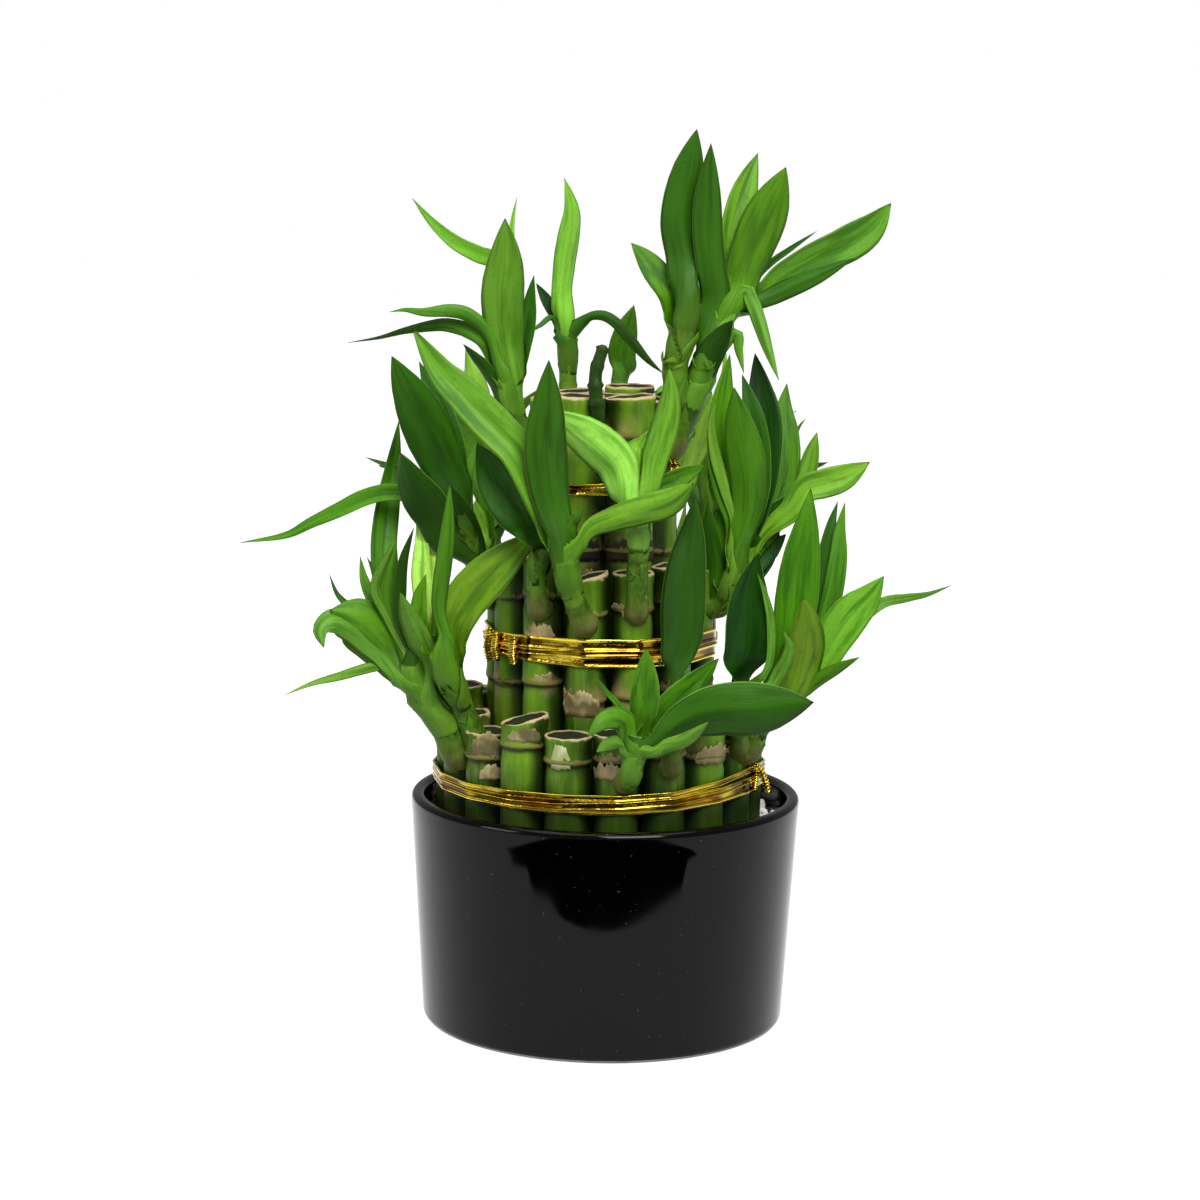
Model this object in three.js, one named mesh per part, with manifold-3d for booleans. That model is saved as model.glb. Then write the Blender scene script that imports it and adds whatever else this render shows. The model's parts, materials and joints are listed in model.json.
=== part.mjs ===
// Lucky bamboo: three tiers of tied canes with leafy shoots, in white gravel in a round black pot.
// Units are millimetres. +Z is up, the front is -Y, and the origin is the middle of the pot's foot.
import * as THREE from 'three';
import { mergeVertices } from 'three/addons/utils/BufferGeometryUtils.js';
import Module from 'manifold-3d';

const wasm = await Module();
wasm.setup();

// ---- Driving dimensions ----

const touchGap = 0.3; // left between pieces that touch

const pot = {
  rimRadius: 65,
  footRadius: 60.6,
  height: 77,
  lip: 2, // rounding of the rim
  heel: 3, // rounding of the foot
  insideTop: 60.3,
  insideFloor: 58.4,
  floor: 8,
  sides: 40,
};

const gravel = { top: 71, insideRadius: 51 };

// The bundle stands a little to the left of the pot's axis.
const bundle = { across: -2.2, bottom: pot.floor + touchGap, sides: 10 };

// Each tier is a ring of canes. firstAt is the bearing of its first cane in degrees, measured from
// the front towards the right. joints are the heights of the joint rings below each cane's cut top.
// rise is how much the cut slopes up towards the right.
const tiers = {
  upper: {
    ring: 16.4,
    radius: 8,
    firstAt: -30,
    tops: [211, 211, 209, 212, 210, 208],
    rise: [0, 0.1, -0.1, 0, 0.05, -0.1],
    joints: [12, 50],
  },
  middle: {
    ring: 31.5,
    radius: 6.6,
    firstAt: -9,
    tops: [154, 155.5, 157, 155, 158, 154, 156, 153, 157, 155, 156, 157, 159],
    rise: [0.3, 0, 0.1, -0.2, 0, 0.1, 0, -0.1, 0.2, 0, 0, -0.1, 0],
    joints: [11.5, 40],
  },
  lower: {
    ring: 46.9,
    radius: 7.5,
    firstAt: -12.3,
    tops: [105, 106, 107, 105, 108, 106, 109, 107, 105, 108, 106, 109, 107, 106, 108, 113, 106, 103, 109],
    rise: [0, 0, 0, 0.1, 0, -0.1, 0, 0, 0.1, 0, 0, -0.1, 0, 0, 0.1, 0, 0.1, 0, 0.25],
    joints: [8],
  },
};
const middleCane = { top: 210, radius: 8, joints: [12, 50] };

const joint = { proud: 0.2, edge: 0.8 }; // a ring that is sharp below and fades into the cane above
const cutEdge = 0.6; // worn edge round a cut top

// A tie has two bands, one above the other, round the canes of its tier, and a twist that joins
// them. The twist is a wire in the upright plane at a bearing, through points of [out, up].
const band = { thick: 1, apart: 0.6 };
const ties = {
  lower: {
    from: 80.2,
    to: 88,
    clear: 0.4,
    arcPoints: 2,
    twist: { bearing: 72, radius: 1.1, points: [[55.4, 81], [55.6, 86], [55.2, 90.5], [58.5, 87], [60.5, 81.5]] },
  },
  middle: {
    from: 125.4,
    to: 135.4,
    clear: 0.5,
    arcPoints: 2,
    twist: { bearing: -78, radius: 1.5, points: [[39.6, 126], [39.9, 130], [39.4, 134.8]] },
  },
  upper: {
    from: 178.6,
    to: 184.6,
    clear: 0.5,
    arcPoints: 3,
    twist: { bearing: 60, radius: 1.2, points: [[24.5, 179.5], [24.8, 183], [25.6, 187], [28, 185]] },
  },
};

const leafThick = 1;
const stemSides = 6;

const finish = {
  glaze: { color: 0x0b0b0d, roughness: 0.15, metalness: 0 },
  gravel: { color: 0xe8e6e0, roughness: 0.85, metalness: 0 },
  cane: { color: 0x6f8f2c, roughness: 0.5, metalness: 0 },
  foil: { color: 0xd9a521, roughness: 0.2, metalness: 1 },
  leaf: { color: 0x4c9a2a, roughness: 0.45, metalness: 0 },
};

// ---- Solids and meshes ----

const object = new THREE.Group();

function addMesh(name, geometry, look) {
  const mesh = new THREE.Mesh(geometry, new THREE.MeshStandardMaterial(look));
  mesh.name = name;
  object.add(mesh);
  return mesh;
}

/** A solid from closed geometry. Triangles that shrink to a line at a pole are left out. */
function solidFrom(geometry) {
  const bare = geometry.clone();
  bare.deleteAttribute('normal');
  bare.deleteAttribute('uv');
  const merged = mergeVertices(bare, 1e-4);
  const corners = merged.index.array;
  const kept = [];
  for (let i = 0; i < corners.length; i += 3) {
    const [a, b, c] = corners.slice(i, i + 3);
    if (a !== b && b !== c && c !== a) kept.push(a, b, c);
  }
  const vertProperties = new Float32Array(merged.attributes.position.array);
  return new wasm.Manifold(new wasm.Mesh({ numProp: 3, vertProperties, triVerts: new Uint32Array(kept) }));
}

function geometryOf(solid) {
  const { vertProperties, triVerts } = solid.getMesh();
  const geometry = new THREE.BufferGeometry();
  geometry.setAttribute('position', new THREE.BufferAttribute(new Float32Array(vertProperties), 3));
  geometry.setIndex(new THREE.BufferAttribute(new Uint32Array(triVerts), 1));
  geometry.computeVertexNormals();
  return geometry;
}

/** A turned solid about the Z axis, from a profile of [radius, height] that starts and ends on it. */
function turned(profile, sides) {
  const points = profile.map(([radius, height]) => new THREE.Vector2(radius, height));
  return new THREE.LatheGeometry(points, sides).rotateX(Math.PI / 2);
}

/** A closed skin over rings of points. The last ring may be a single point. */
function loft(rings) {
  const count = rings[0].length;
  const points = rings.flat();
  const faces = [];
  for (let row = 0; row + 1 < rings.length; row += 1) {
    const toPoint = rings[row + 1].length === 1;
    for (let i = 0; i < count; i += 1) {
      const here = row * count + i;
      const beside = row * count + ((i + 1) % count);
      const above = toPoint ? (row + 1) * count : here + count;
      faces.push(here, beside, above);
      if (!toPoint) faces.push(beside, beside + count, above);
    }
  }
  const last = points.length - count;
  for (let i = 1; i + 1 < count; i += 1) {
    faces.push(0, i + 1, i);
    if (rings.at(-1).length > 1) faces.push(last, last + i, last + i + 1);
  }
  const geometry = new THREE.BufferGeometry().setFromPoints(points);
  geometry.setIndex(faces);
  return solidFrom(geometry);
}

// ---- Pot and gravel ----

function potProfile() {
  const profile = [[0, 0]];
  const quarter = (x, z, radius, from, steps = 2) => {
    for (let i = 0; i <= steps; i += 1) {
      const angle = from + (Math.PI / 2) * (i / steps);
      profile.push([x + radius * Math.cos(angle), z + radius * Math.sin(angle)]);
    }
  };
  quarter(pot.footRadius - pot.heel, pot.heel, pot.heel, -Math.PI / 2);
  quarter(pot.rimRadius - pot.lip, pot.height - pot.lip, pot.lip, 0);
  quarter(pot.insideTop + pot.lip, pot.height - pot.lip, pot.lip, Math.PI / 2);
  profile.push([pot.insideFloor, pot.floor + pot.heel]);
  profile.push([pot.insideFloor - pot.heel / 2, pot.floor]);
  profile.push([0, pot.floor]);
  return profile;
}

function gravelBed(caneSolids) {
  const wallAt = (height) => {
    const part = (height - pot.floor) / (pot.height - pot.floor);
    return pot.insideFloor + (pot.insideTop - pot.insideFloor) * part - touchGap;
  };
  const low = pot.floor + pot.heel + touchGap;
  const ring = [
    [gravel.insideRadius, low],
    [wallAt(low) - touchGap, low],
    [wallAt(gravel.top) - touchGap, gravel.top],
    [gravel.insideRadius, gravel.top],
    [gravel.insideRadius, low],
  ];
  let bed = solidFrom(turned(ring, pot.sides));
  for (const cane of caneSolids) bed = bed.subtract(cane);
  return bed;
}

// ---- Canes ----

/** A cane's solid round its own axis, made fatter and taller by `extra` when it is used as a cutter. */
function caneSolid({ x, y, radius, top, rise, joints }, extra = 0) {
  const fat = radius + extra;
  const profile = [[0, bundle.bottom - extra], [fat, bundle.bottom - extra]];
  for (const below of [...joints].reverse()) {
    const at = top - below;
    profile.push([fat, at - joint.edge]);
    profile.push([fat + joint.proud, at]);
  }
  profile.push([fat, top + extra - cutEdge], [fat - cutEdge, top + extra], [0, top + extra]);
  const geometry = turned(profile, bundle.sides);
  const position = geometry.attributes.position;
  for (let i = 0; i < position.count; i += 1) {
    const nearTop = position.getZ(i) > top - 2 * cutEdge;
    if (nearTop) position.setZ(i, position.getZ(i) + rise * position.getX(i));
  }
  return solidFrom(geometry.translate(x, y, 0));
}

function tierCanes(name) {
  const { ring, radius, firstAt, tops, rise, joints } = tiers[name];
  return tops.map((top, i) => {
    const bearing = THREE.MathUtils.degToRad(firstAt + (360 * i) / tops.length);
    const x = bundle.across + ring * Math.sin(bearing);
    const y = -ring * Math.cos(bearing);
    return { name: `cane_${name}_${i + 1}`, x, y, bearing, radius, top, rise: rise[i], joints };
  });
}

const canes = Object.fromEntries(Object.keys(tiers).map((name) => [name, tierCanes(name)]));
canes.upper.push({ name: 'cane_upper_7', x: bundle.across, y: 0, bearing: 0, rise: 0, ...middleCane });

// ---- Ties ----

/** The line of a taut wire round a ring of canes: straight between canes, and round each one. */
function wireLine({ ring, radius, firstAt, tops }, clear, arcPoints) {
  const count = tops.length;
  const line = [];
  for (let i = 0; i < count; i += 1) {
    const bearing = THREE.MathUtils.degToRad(firstAt + (360 * i) / count);
    for (let step = 0; step < arcPoints; step += 1) {
      const side = bearing + (Math.PI / count) * ((2 * step) / (arcPoints - 1) - 1);
      const x = bundle.across + ring * Math.sin(bearing) + (radius + clear) * Math.sin(side);
      const y = -ring * Math.cos(bearing) - (radius + clear) * Math.cos(side);
      line.push(new THREE.Vector2(x, y));
    }
  }
  return line;
}

/** The twisted end of a tie: a short bent wire that joins its two bands. */
function twistSolid({ bearing, radius, points }) {
  const angle = THREE.MathUtils.degToRad(bearing);
  const place = ([out, up]) => new THREE.Vector3(bundle.across + out * Math.sin(angle), -out * Math.cos(angle), up);
  return tubeSolid(points.map(place), [radius, radius], 5);
}

function tieSolid(name) {
  const { from, to, clear, arcPoints, twist } = ties[name];
  const outline = new THREE.Shape(wireLine(tiers[name], clear + band.thick, arcPoints));
  outline.holes.push(new THREE.Path(wireLine(tiers[name], clear, arcPoints)));
  const height = (to - from - band.apart) / 2;
  let tie = twistSolid(twist);
  for (const low of [from, to - height]) {
    const ring = new THREE.ExtrudeGeometry(outline, { depth: height, bevelEnabled: false });
    tie = tie.add(solidFrom(ring.translate(0, 0, low)));
  }
  return tie;
}

// ---- Shoots ----

// Places on the shoots are given as the front view shows them: across and up on the upright plane
// through the pot's axis, and then how far nearer than that plane, along the line of sight.
const eye = new THREE.Vector3(-2.8, -1030, 303);

function seen([across, up], nearer) {
  return new THREE.Vector3(across, 0, up).lerp(eye, nearer / -eye.y);
}

function ringAround(centre, along, radius, sides) {
  const first = new THREE.Vector3().crossVectors(along, new THREE.Vector3(0.3, 1, 0.2)).normalize();
  const second = new THREE.Vector3().crossVectors(along, first).normalize();
  return Array.from({ length: sides }, (_, i) => {
    const angle = (2 * Math.PI * i) / sides;
    const out = first.clone().multiplyScalar(Math.cos(angle)).addScaledVector(second, Math.sin(angle));
    return centre.clone().addScaledVector(out, radius);
  });
}

function tubeSolid(points, radii, sides) {
  const path = new THREE.CatmullRomCurve3(points);
  const steps = points.length;
  const rings = [];
  for (let i = 0; i <= steps; i += 1) {
    const t = i / steps;
    const radius = THREE.MathUtils.lerp(radii[0], radii.at(-1), t);
    rings.push(ringAround(path.getPoint(t), path.getTangent(t), radius, sides));
  }
  return loft(rings);
}

// Half width of a leaf along its length, from the stem to just short of the tip.
const bladeShape = [[0, 0.4], [0.18, 0.75], [0.42, 1], [0.68, 0.84], [0.88, 0.42]];

/**
 * A leaf: a thin blade, shallow V in section, along a curve from base through mid to tip.
 * face is the way its upper side looks; turn rolls it about its midrib, and twist adds to that
 * towards the tip.
 */
function leafSolid({ base, mid, tip, wide, face, turn = 0, twist = 0 }) {
  const ends = base.clone().add(tip).multiplyScalar(0.5);
  const midrib = new THREE.QuadraticBezierCurve3(base, mid.clone().multiplyScalar(2).sub(ends), tip);
  const rings = bladeShape.map(([t, share]) => {
    const at = midrib.getPoint(t);
    const along = midrib.getTangent(t);
    const side = new THREE.Vector3().crossVectors(along, face(at)).normalize();
    side.applyAxisAngle(along, THREE.MathUtils.degToRad(turn + twist * t));
    const normal = new THREE.Vector3().crossVectors(side, along);
    const half = (wide / 2) * share;
    const edge = (sign) => at.clone().addScaledVector(side, sign * half).addScaledVector(normal, half * 0.2);
    const rib = (sign) => at.clone().addScaledVector(normal, (sign * leafThick) / 2);
    return [edge(-1), rib(1), edge(1), rib(-1)];
  });
  return loft([...rings, [tip.clone()]]);
}

const towardsEye = (at) => eye.clone().sub(at).normalize();

/** A leaf of the front view: where on the stem it grows, its mid and tip as seen, and its width. */
function blade(on, mid, tip, nearer, wide, turn = 0, twist = 0) {
  return { on, mid, tip, nearer, wide, turn, twist };
}

/** A stem as seen from the front, with its leaves, from a root inside its cane. */
function frontStem(path, radius, blades) {
  return (root) => {
    const points = [root, ...path.map(([across, up, nearer]) => seen([across, up], nearer))];
    const curve = new THREE.CatmullRomCurve3(points);
    let stem = tubeSolid(points, [radius, radius * 0.8], stemSides);
    for (const { on, mid, tip, nearer, wide, turn, twist } of blades) {
      const base = curve.getPoint(on);
      const halfway = (nearer - base.y) / 2;
      const ends = { base, mid: seen(mid, halfway), tip: seen(tip, nearer) };
      stem = stem.add(leafSolid({ ...ends, wide, face: towardsEye, turn, twist }));
    }
    return stem;
  };
}

// The leaves of a stem that faces away from the front: where on it they grow, the spread to the side
// of its heading and the lift above level, both in degrees, then length and width.
const fan = [
  { on: 0.62, spread: -62, lift: 34, long: 50, wide: 12 },
  { on: 0.7, spread: 48, lift: 26, long: 46, wide: 13 },
  { on: 0.8, spread: -18, lift: 40, long: 55, wide: 14 },
  { on: 0.88, spread: 88, lift: 58, long: 48, wide: 12 },
  { on: 0.94, spread: -100, lift: 62, long: 46, wide: 11 },
  { on: 1, spread: 14, lift: 76, long: 52, wide: 12 },
];

const outward = (bearing) => new THREE.Vector3(Math.sin(bearing), -Math.cos(bearing), 0);

/** A stem that leans out, `off` degrees to the side of its cane's bearing, with the fan of leaves. */
function fanStem({ off = 0, reach, rise, scale = 1, mirror = 1 }) {
  return (root, cane) => {
    const heading = cane.bearing + THREE.MathUtils.degToRad(off);
    const out = outward(heading);
    const start = root.clone().addScaledVector(outward(cane.bearing), cane.radius);
    const place = (away, up) => start.clone().addScaledVector(out, away).add(new THREE.Vector3(0, 0, up));
    const points = [root, start, place(reach * 0.5, rise * 0.3), place(reach, rise)];
    const curve = new THREE.CatmullRomCurve3(points);
    let stem = tubeSolid(points, [3.4, 2.8], stemSides);
    for (const { on, spread, lift, long, wide } of fan) {
      const away = outward(heading + THREE.MathUtils.degToRad(mirror * spread));
      const angle = THREE.MathUtils.degToRad(lift);
      const base = curve.getPoint(on);
      const level = long * scale * Math.cos(angle);
      const up = long * scale * Math.sin(angle);
      const tip = base.clone().addScaledVector(away, level).add(new THREE.Vector3(0, 0, up));
      const mid = base.clone().addScaledVector(away, level * 0.4).add(new THREE.Vector3(0, 0, up * 0.62));
      const face = () => new THREE.Vector3(0, 0, 1).addScaledVector(out, 0.6).normalize();
      stem = stem.add(leafSolid({ base, mid, tip, wide: wide * scale, face }));
    }
    return stem;
  };
}

const collar = { radius: 4.6, proud: 3 };

/**
 * A shoot: its stems and the collar that they grow from, cut back to just clear of the cane. The
 * collar is on the cane's outer side, or where `facing` gives its bearing in degrees.
 */
function shootSolid({ cane, height, facing, stems }) {
  const root = new THREE.Vector3(cane.x, cane.y, height);
  const bearing = facing === undefined ? cane.bearing : THREE.MathUtils.degToRad(facing);
  const rim = root.clone().addScaledVector(outward(bearing), cane.radius + collar.proud);
  const base = tubeSolid([root, rim], [collar.radius, collar.radius * 0.8], stemSides);
  const grown = stems.reduce((shoot, stem) => shoot.add(stem(root, cane)), base);
  return grown.subtract(caneSolid(cane, touchGap));
}

const { upper, middle, lower } = canes;

// A shoot of the first cane that was cut short and dried up.
const stub = {
  cane: upper[0],
  points: [[-8, 194, 16], [-4.5, 200, 23], [-5, 207.5, 24], [-2, 225, 22]],
  radii: [2.6, 2.1],
};

function stubSolid({ points, radii }) {
  return tubeSolid(points.map(([across, up, nearer]) => seen([across, up], nearer)), radii, stemSides);
}

const shoots = {
  shoot_upper_left: {
    cane: upper[5],
    height: 196,
    stems: [
      frontStem([[-30, 199, 4], [-33, 208, 5], [-35, 217, 6]], 3.8, [
        blade(0.95, [-42, 253], [-66, 273], -12, 7),
        blade(0.8, [-35, 241], [-36, 267], 14, 11, -10),
        blade(0.95, [-33, 244], [-32, 274], -8, 5, 45),
        blade(0.9, [-28, 234], [-26, 249], 4, 6),
        blade(0.95, [-53, 235], [-73, 236], 10, 6),
        blade(0.9, [-60, 233], [-87, 226], 0, 5),
        blade(0.7, [-43, 218], [-49, 226], 12, 4),
      ]),
    ],
  },
  shoot_upper_centre: {
    cane: upper[4],
    height: 203,
    stems: [
      frontStem([[-14, 209, -24], [-15, 224, -24], [-15, 234, -23]], 3.3, [
        blade(1, [-15, 255], [-17, 280], -20, 7, 15),
        blade(0.92, [-24, 241], [-30, 248], -30, 4, 30),
        blade(0.88, [-23, 233], [-32, 229], -16, 3, 60),
        blade(0.92, [-2, 235], [17, 217], -12, 4, 30),
      ]),
    ],
  },
  shoot_upper_right: {
    cane: upper[2],
    height: 190,
    stems: [
      frontStem([[20, 193, 6], [24, 207, 9], [22, 220, 10], [25, 236, 12]], 4, [
        blade(1, [21, 269], [26, 297], 12, 11, 10),
        blade(0.95, [14, 250], [6, 260], 6, 7),
      ]),
      frontStem([[20, 193, 6], [25, 207, 9], [30, 221, 12], [35, 236, 14], [41, 243, 14]], 4, [
        blade(0.8, [31, 263], [31, 292], 20, 9, -20),
        blade(1, [41, 266], [46, 289], -6, 10),
        blade(0.95, [48, 264], [56, 285], 14, 13),
        blade(1, [56, 257], [66, 265], -10, 3, 30),
        blade(1, [67, 258], [90, 274], -2, 11),
        blade(1, [63, 249], [78, 256], 8, 6),
        blade(0.9, [46, 238], [56, 215], 18, 7),
      ]),
    ],
  },
  shoot_upper_back: {
    cane: upper[3],
    height: 203,
    stems: [
      frontStem([[3, 208, -26], [2, 213, -32]], 3.2, [
        blade(1, [2, 225], [7, 239], -34, 9),
      ]),
      fanStem({ reach: 10, rise: 24, scale: 0.8 }),
    ],
  },
  shoot_front: {
    cane: middle[0],
    height: 140,
    stems: [
      frontStem([[-11, 134, 40], [-16, 146, 43], [-18, 157, 45]], 4, [
        blade(1, [-43, 197], [-66, 231], 38, 15),
        blade(0.95, [-21, 195], [-21, 221], 52, 12),
        blade(0.92, [7, 168], [27, 181], 62, 9),
        blade(0.88, [-12, 167], [-10, 172], 50, 4),
      ]),
    ],
  },
  shoot_front_left: {
    cane: middle[12],
    height: 143,
    stems: [
      frontStem([[-23, 139, 33], [-24, 150, 36], [-23, 158, 38]], 3.6, [
        blade(1, [-32, 175], [-43, 194], 30, 16),
      ]),
    ],
  },
  shoot_front_right: {
    cane: middle[1],
    height: 142,
    stems: [
      frontStem([[11, 139, 38], [10, 155, 42], [10, 173, 44]], 3.5, [
        blade(0.95, [-4, 192], [-16, 210], 46, 12),
        blade(1, [14, 199], [19, 219], 44, 9),
        blade(0.97, [7, 188], [13, 199], 34, 4),
        blade(0.97, [23, 183], [31, 187], 40, 7),
      ]),
    ],
  },
  shoot_left: {
    cane: middle[10],
    height: 142,
    facing: -35,
    stems: [
      frontStem([[-40, 142, 10], [-44, 154, 14], [-49, 170, 16]], 3.5, [
        blade(1, [-59, 197], [-72, 221], 22, 16, 10),
        blade(1, [-56, 201], [-63, 220], 8, 10),
        blade(0.85, [-61, 177], [-71, 190], 28, 16),
        blade(0.95, [-66, 184], [-81, 188], -8, 5),
        blade(0.93, [-86, 175], [-122, 159], 12, 6),
        blade(0.93, [-47, 174], [-45, 192], 2, 5),
      ]),
    ],
  },
  shoot_low_left: {
    cane: lower[16],
    height: 95,
    stems: [
      frontStem([[-52, 91, 24], [-56, 102, 28], [-61, 116, 30], [-63, 124, 30]], 4.2, [
        blade(0.93, [-82, 133], [-93, 149], 15, 3),
        blade(0.93, [-80, 129], [-96, 130], 36, 16),
        blade(0.8, [-88, 116], [-108, 108], 38, 4),
        blade(1, [-74, 140], [-71, 161], 34, 11),
        blade(1, [-79, 144], [-83, 155], 20, 5),
        blade(1, [-69, 149], [-65, 165], 40, 4),
        blade(0.86, [-65, 130], [-70, 144], 46, 8),
        blade(1, [-75, 171], [-70, 200], -5, 9),
        blade(1, [-63, 152], [-65, 169], 8, 5),
        blade(0.9, [-57, 146], [-59, 164], 2, 4),
      ]),
      frontStem([[-48, 96, 24], [-49, 105, 27], [-53, 116, 36], [-56, 127, 38]], 3.4, [
        blade(1, [-62, 139], [-61, 149], 36, 5),
        blade(0.95, [-55, 151], [-53, 180], 44, 8),
        blade(0.85, [-40, 144], [-25, 163], 27, 15),
      ]),
    ],
  },
  shoot_right: {
    cane: middle[3],
    height: 141,
    stems: [
      frontStem([[38, 140, 12], [40, 146, 16], [44, 154, 18]], 3.5, [
        blade(1, [42, 187], [40, 213], 26, 13),
        blade(0.95, [34, 194], [38, 225], 14, 11),
        blade(0.95, [47, 196], [43, 225], 10, 10),
        blade(0.95, [50, 199], [47, 224], 4, 9),
        blade(1, [58, 193], [58, 214], 0, 10),
        blade(1, [59, 188], [64, 203], -8, 3),
        blade(1, [63, 179], [68, 198], 10, 5),
        blade(1, [62, 177], [86, 189], 14, 8),
      ]),
    ],
  },
  shoot_low_right_front: {
    cane: lower[2],
    height: 96,
    stems: [
      frontStem([[22, 83, 50], [22, 91, 54], [25, 103, 54], [25, 112, 52]], 3.3, [
        blade(1, [25, 142], [28, 176], 50, 16),
        blade(1, [32, 149], [32, 175], 42, 8),
        blade(1, [38, 154], [37, 176], 36, 7),
      ]),
    ],
  },
  shoot_low_right: {
    cane: lower[4],
    height: 97,
    stems: [
      frontStem([[45, 92, 28], [43, 103, 36], [45, 114, 40]], 3.4, [
        blade(1, [46, 137], [48, 156], 44, 17),
      ]),
      frontStem([[48, 91, 26], [51, 100, 30], [55, 110, 32]], 3.8, [
        blade(0.95, [63, 148], [66, 179], 26, 14),
        blade(1, [65, 126], [68, 143], 44, 16),
        blade(0.95, [68, 153], [75, 175], 14, 8),
        blade(0.95, [75, 155], [78, 175], 18, 7),
        blade(0.95, [58, 120], [61, 127], 48, 5),
        blade(1, [80, 137], [91, 151], 30, 12),
        blade(1, [90, 142], [114, 148], 10, 5),
        blade(1, [74, 117], [84, 124], 38, 4),
      ]),
    ],
  },
  shoot_low_front: {
    cane: lower[1],
    height: 97,
    stems: [
      frontStem([[9, 80, 58], [9, 86, 62], [11, 93, 64]], 3.8, [
        blade(1, [45, 106], [69, 108], 74, 17),
        blade(1, [13, 110], [12, 125], 60, 11),
        blade(1, [26, 108], [37, 123], 58, 10),
        blade(1, [2, 106], [-7, 95], 72, 9),
        blade(1, [1, 109], [-5, 116], 66, 2),
        blade(0.95, [23, 95], [34, 100], 76, 6),
      ]),
    ],
  },
  shoot_middle_back_right: {
    cane: middle[5],
    height: 142,
    stems: [
      frontStem([[25, 146, -27], [20, 158, -32], [18, 172, -32]], 3.2, [
        blade(1, [26, 199], [33, 211], -28, 10),
        blade(0.95, [8, 190], [2, 204], -38, 8),
      ]),
      fanStem({ off: 22, reach: 18, rise: 30 }),
    ],
  },
  shoot_middle_back_left: {
    cane: middle[9],
    height: 142,
    stems: [
      frontStem([[-38, 149, -20], [-42, 160, -22]], 3.2, [
        blade(1, [-44, 171], [-45, 180], -20, 6),
        blade(0.95, [-40, 176], [-43, 190], -24, 5),
      ]),
      fanStem({ off: -38, reach: 20, rise: 30 }),
    ],
  },
  shoot_low_back: {
    cane: lower[10],
    height: 96,
    stems: [
      fanStem({ off: 60, reach: 22, rise: 24, scale: 0.9, mirror: -1 }),
      fanStem({ off: -55, reach: 24, rise: 28, scale: 0.95 }),
    ],
  },
};

// ---- The object ----

addMesh('pot', turned(potProfile(), pot.sides), finish.glaze);

const allCanes = Object.values(canes).flat();
const cutters = canes.lower.map((cane) => caneSolid(cane, touchGap));
addMesh('gravel_bed', geometryOf(gravelBed(cutters)), finish.gravel);

for (const cane of allCanes) {
  const solid = caneSolid(cane);
  addMesh(cane.name, geometryOf(cane === stub.cane ? solid.add(stubSolid(stub)) : solid), finish.cane);
}

for (const name of Object.keys(ties)) addMesh(`tie_${name}`, geometryOf(tieSolid(name)), finish.foil);

for (const [name, shoot] of Object.entries(shoots)) addMesh(name, geometryOf(shootSolid(shoot)), finish.leaf);

export default object;
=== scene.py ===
import json
import math
import random

import bpy
import numpy as np
from mathutils import Matrix, Vector

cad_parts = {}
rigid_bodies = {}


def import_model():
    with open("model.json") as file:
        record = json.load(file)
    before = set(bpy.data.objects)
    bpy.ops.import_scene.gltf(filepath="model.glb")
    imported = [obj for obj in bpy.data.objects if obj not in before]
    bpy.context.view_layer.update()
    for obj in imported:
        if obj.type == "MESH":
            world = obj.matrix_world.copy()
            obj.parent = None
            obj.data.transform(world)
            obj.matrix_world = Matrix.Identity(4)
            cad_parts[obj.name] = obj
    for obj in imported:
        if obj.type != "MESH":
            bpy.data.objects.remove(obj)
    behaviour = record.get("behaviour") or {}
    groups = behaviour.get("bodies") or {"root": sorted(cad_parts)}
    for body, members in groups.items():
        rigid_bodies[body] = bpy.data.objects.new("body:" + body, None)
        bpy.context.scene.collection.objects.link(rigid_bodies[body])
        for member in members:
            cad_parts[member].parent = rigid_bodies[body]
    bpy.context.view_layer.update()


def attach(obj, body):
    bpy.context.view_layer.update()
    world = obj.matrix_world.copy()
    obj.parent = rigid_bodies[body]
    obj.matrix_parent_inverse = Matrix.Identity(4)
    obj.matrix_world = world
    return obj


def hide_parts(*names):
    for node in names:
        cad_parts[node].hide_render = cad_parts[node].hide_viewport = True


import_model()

MM = 0.001

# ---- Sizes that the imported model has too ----

POT = dict(rim=65.0, foot=60.6, height=77.0, lip=2.0, heel=3.0, inside_top=60.3, inside_floor=58.4, floor=8.0)
GRAVEL = dict(top=71.0, inner=47.0)
ACROSS = -2.2  # the bundle stands a little to the left of the pot's axis
CANE_FOOT = POT["floor"] + 0.3

# Each tier is a ring of canes. first is the bearing of its first cane in degrees, from the front
# towards the right. joints are the depths of the joint rings below a cane's cut top. tops are the
# heights of the cut tops, and rise is how steeply each cut climbs towards the right.
TIERS = {
    "upper": dict(
        ring=16.4, radius=8.0, first=-30.0, joints=(12.0, 50.0),
        tops=[211, 211, 209, 212, 210, 208],
        rise=[0, 0.1, -0.1, 0, 0.05, -0.1],
    ),
    "middle": dict(
        ring=31.5, radius=6.6, first=-9.0, joints=(11.5, 40.0),
        tops=[154, 155.5, 157, 155, 158, 154, 156, 153, 157, 155, 156, 157, 159],
        rise=[0.3, 0, 0.1, -0.2, 0, 0.1, 0, -0.1, 0.2, 0, 0, -0.1, 0],
    ),
    "lower": dict(
        ring=46.9, radius=7.5, first=-12.3, joints=(8.0, 60.0),
        tops=[105, 106, 107, 105, 108, 106, 109, 107, 105, 108, 106, 109, 107, 106, 108, 113, 106, 103, 109],
        rise=[0, 0, 0, 0.1, 0, -0.1, 0, 0, 0.1, 0, 0, -0.1, 0, 0, 0.1, 0, 0.1, 0, 0.25],
    ),
}


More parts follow.
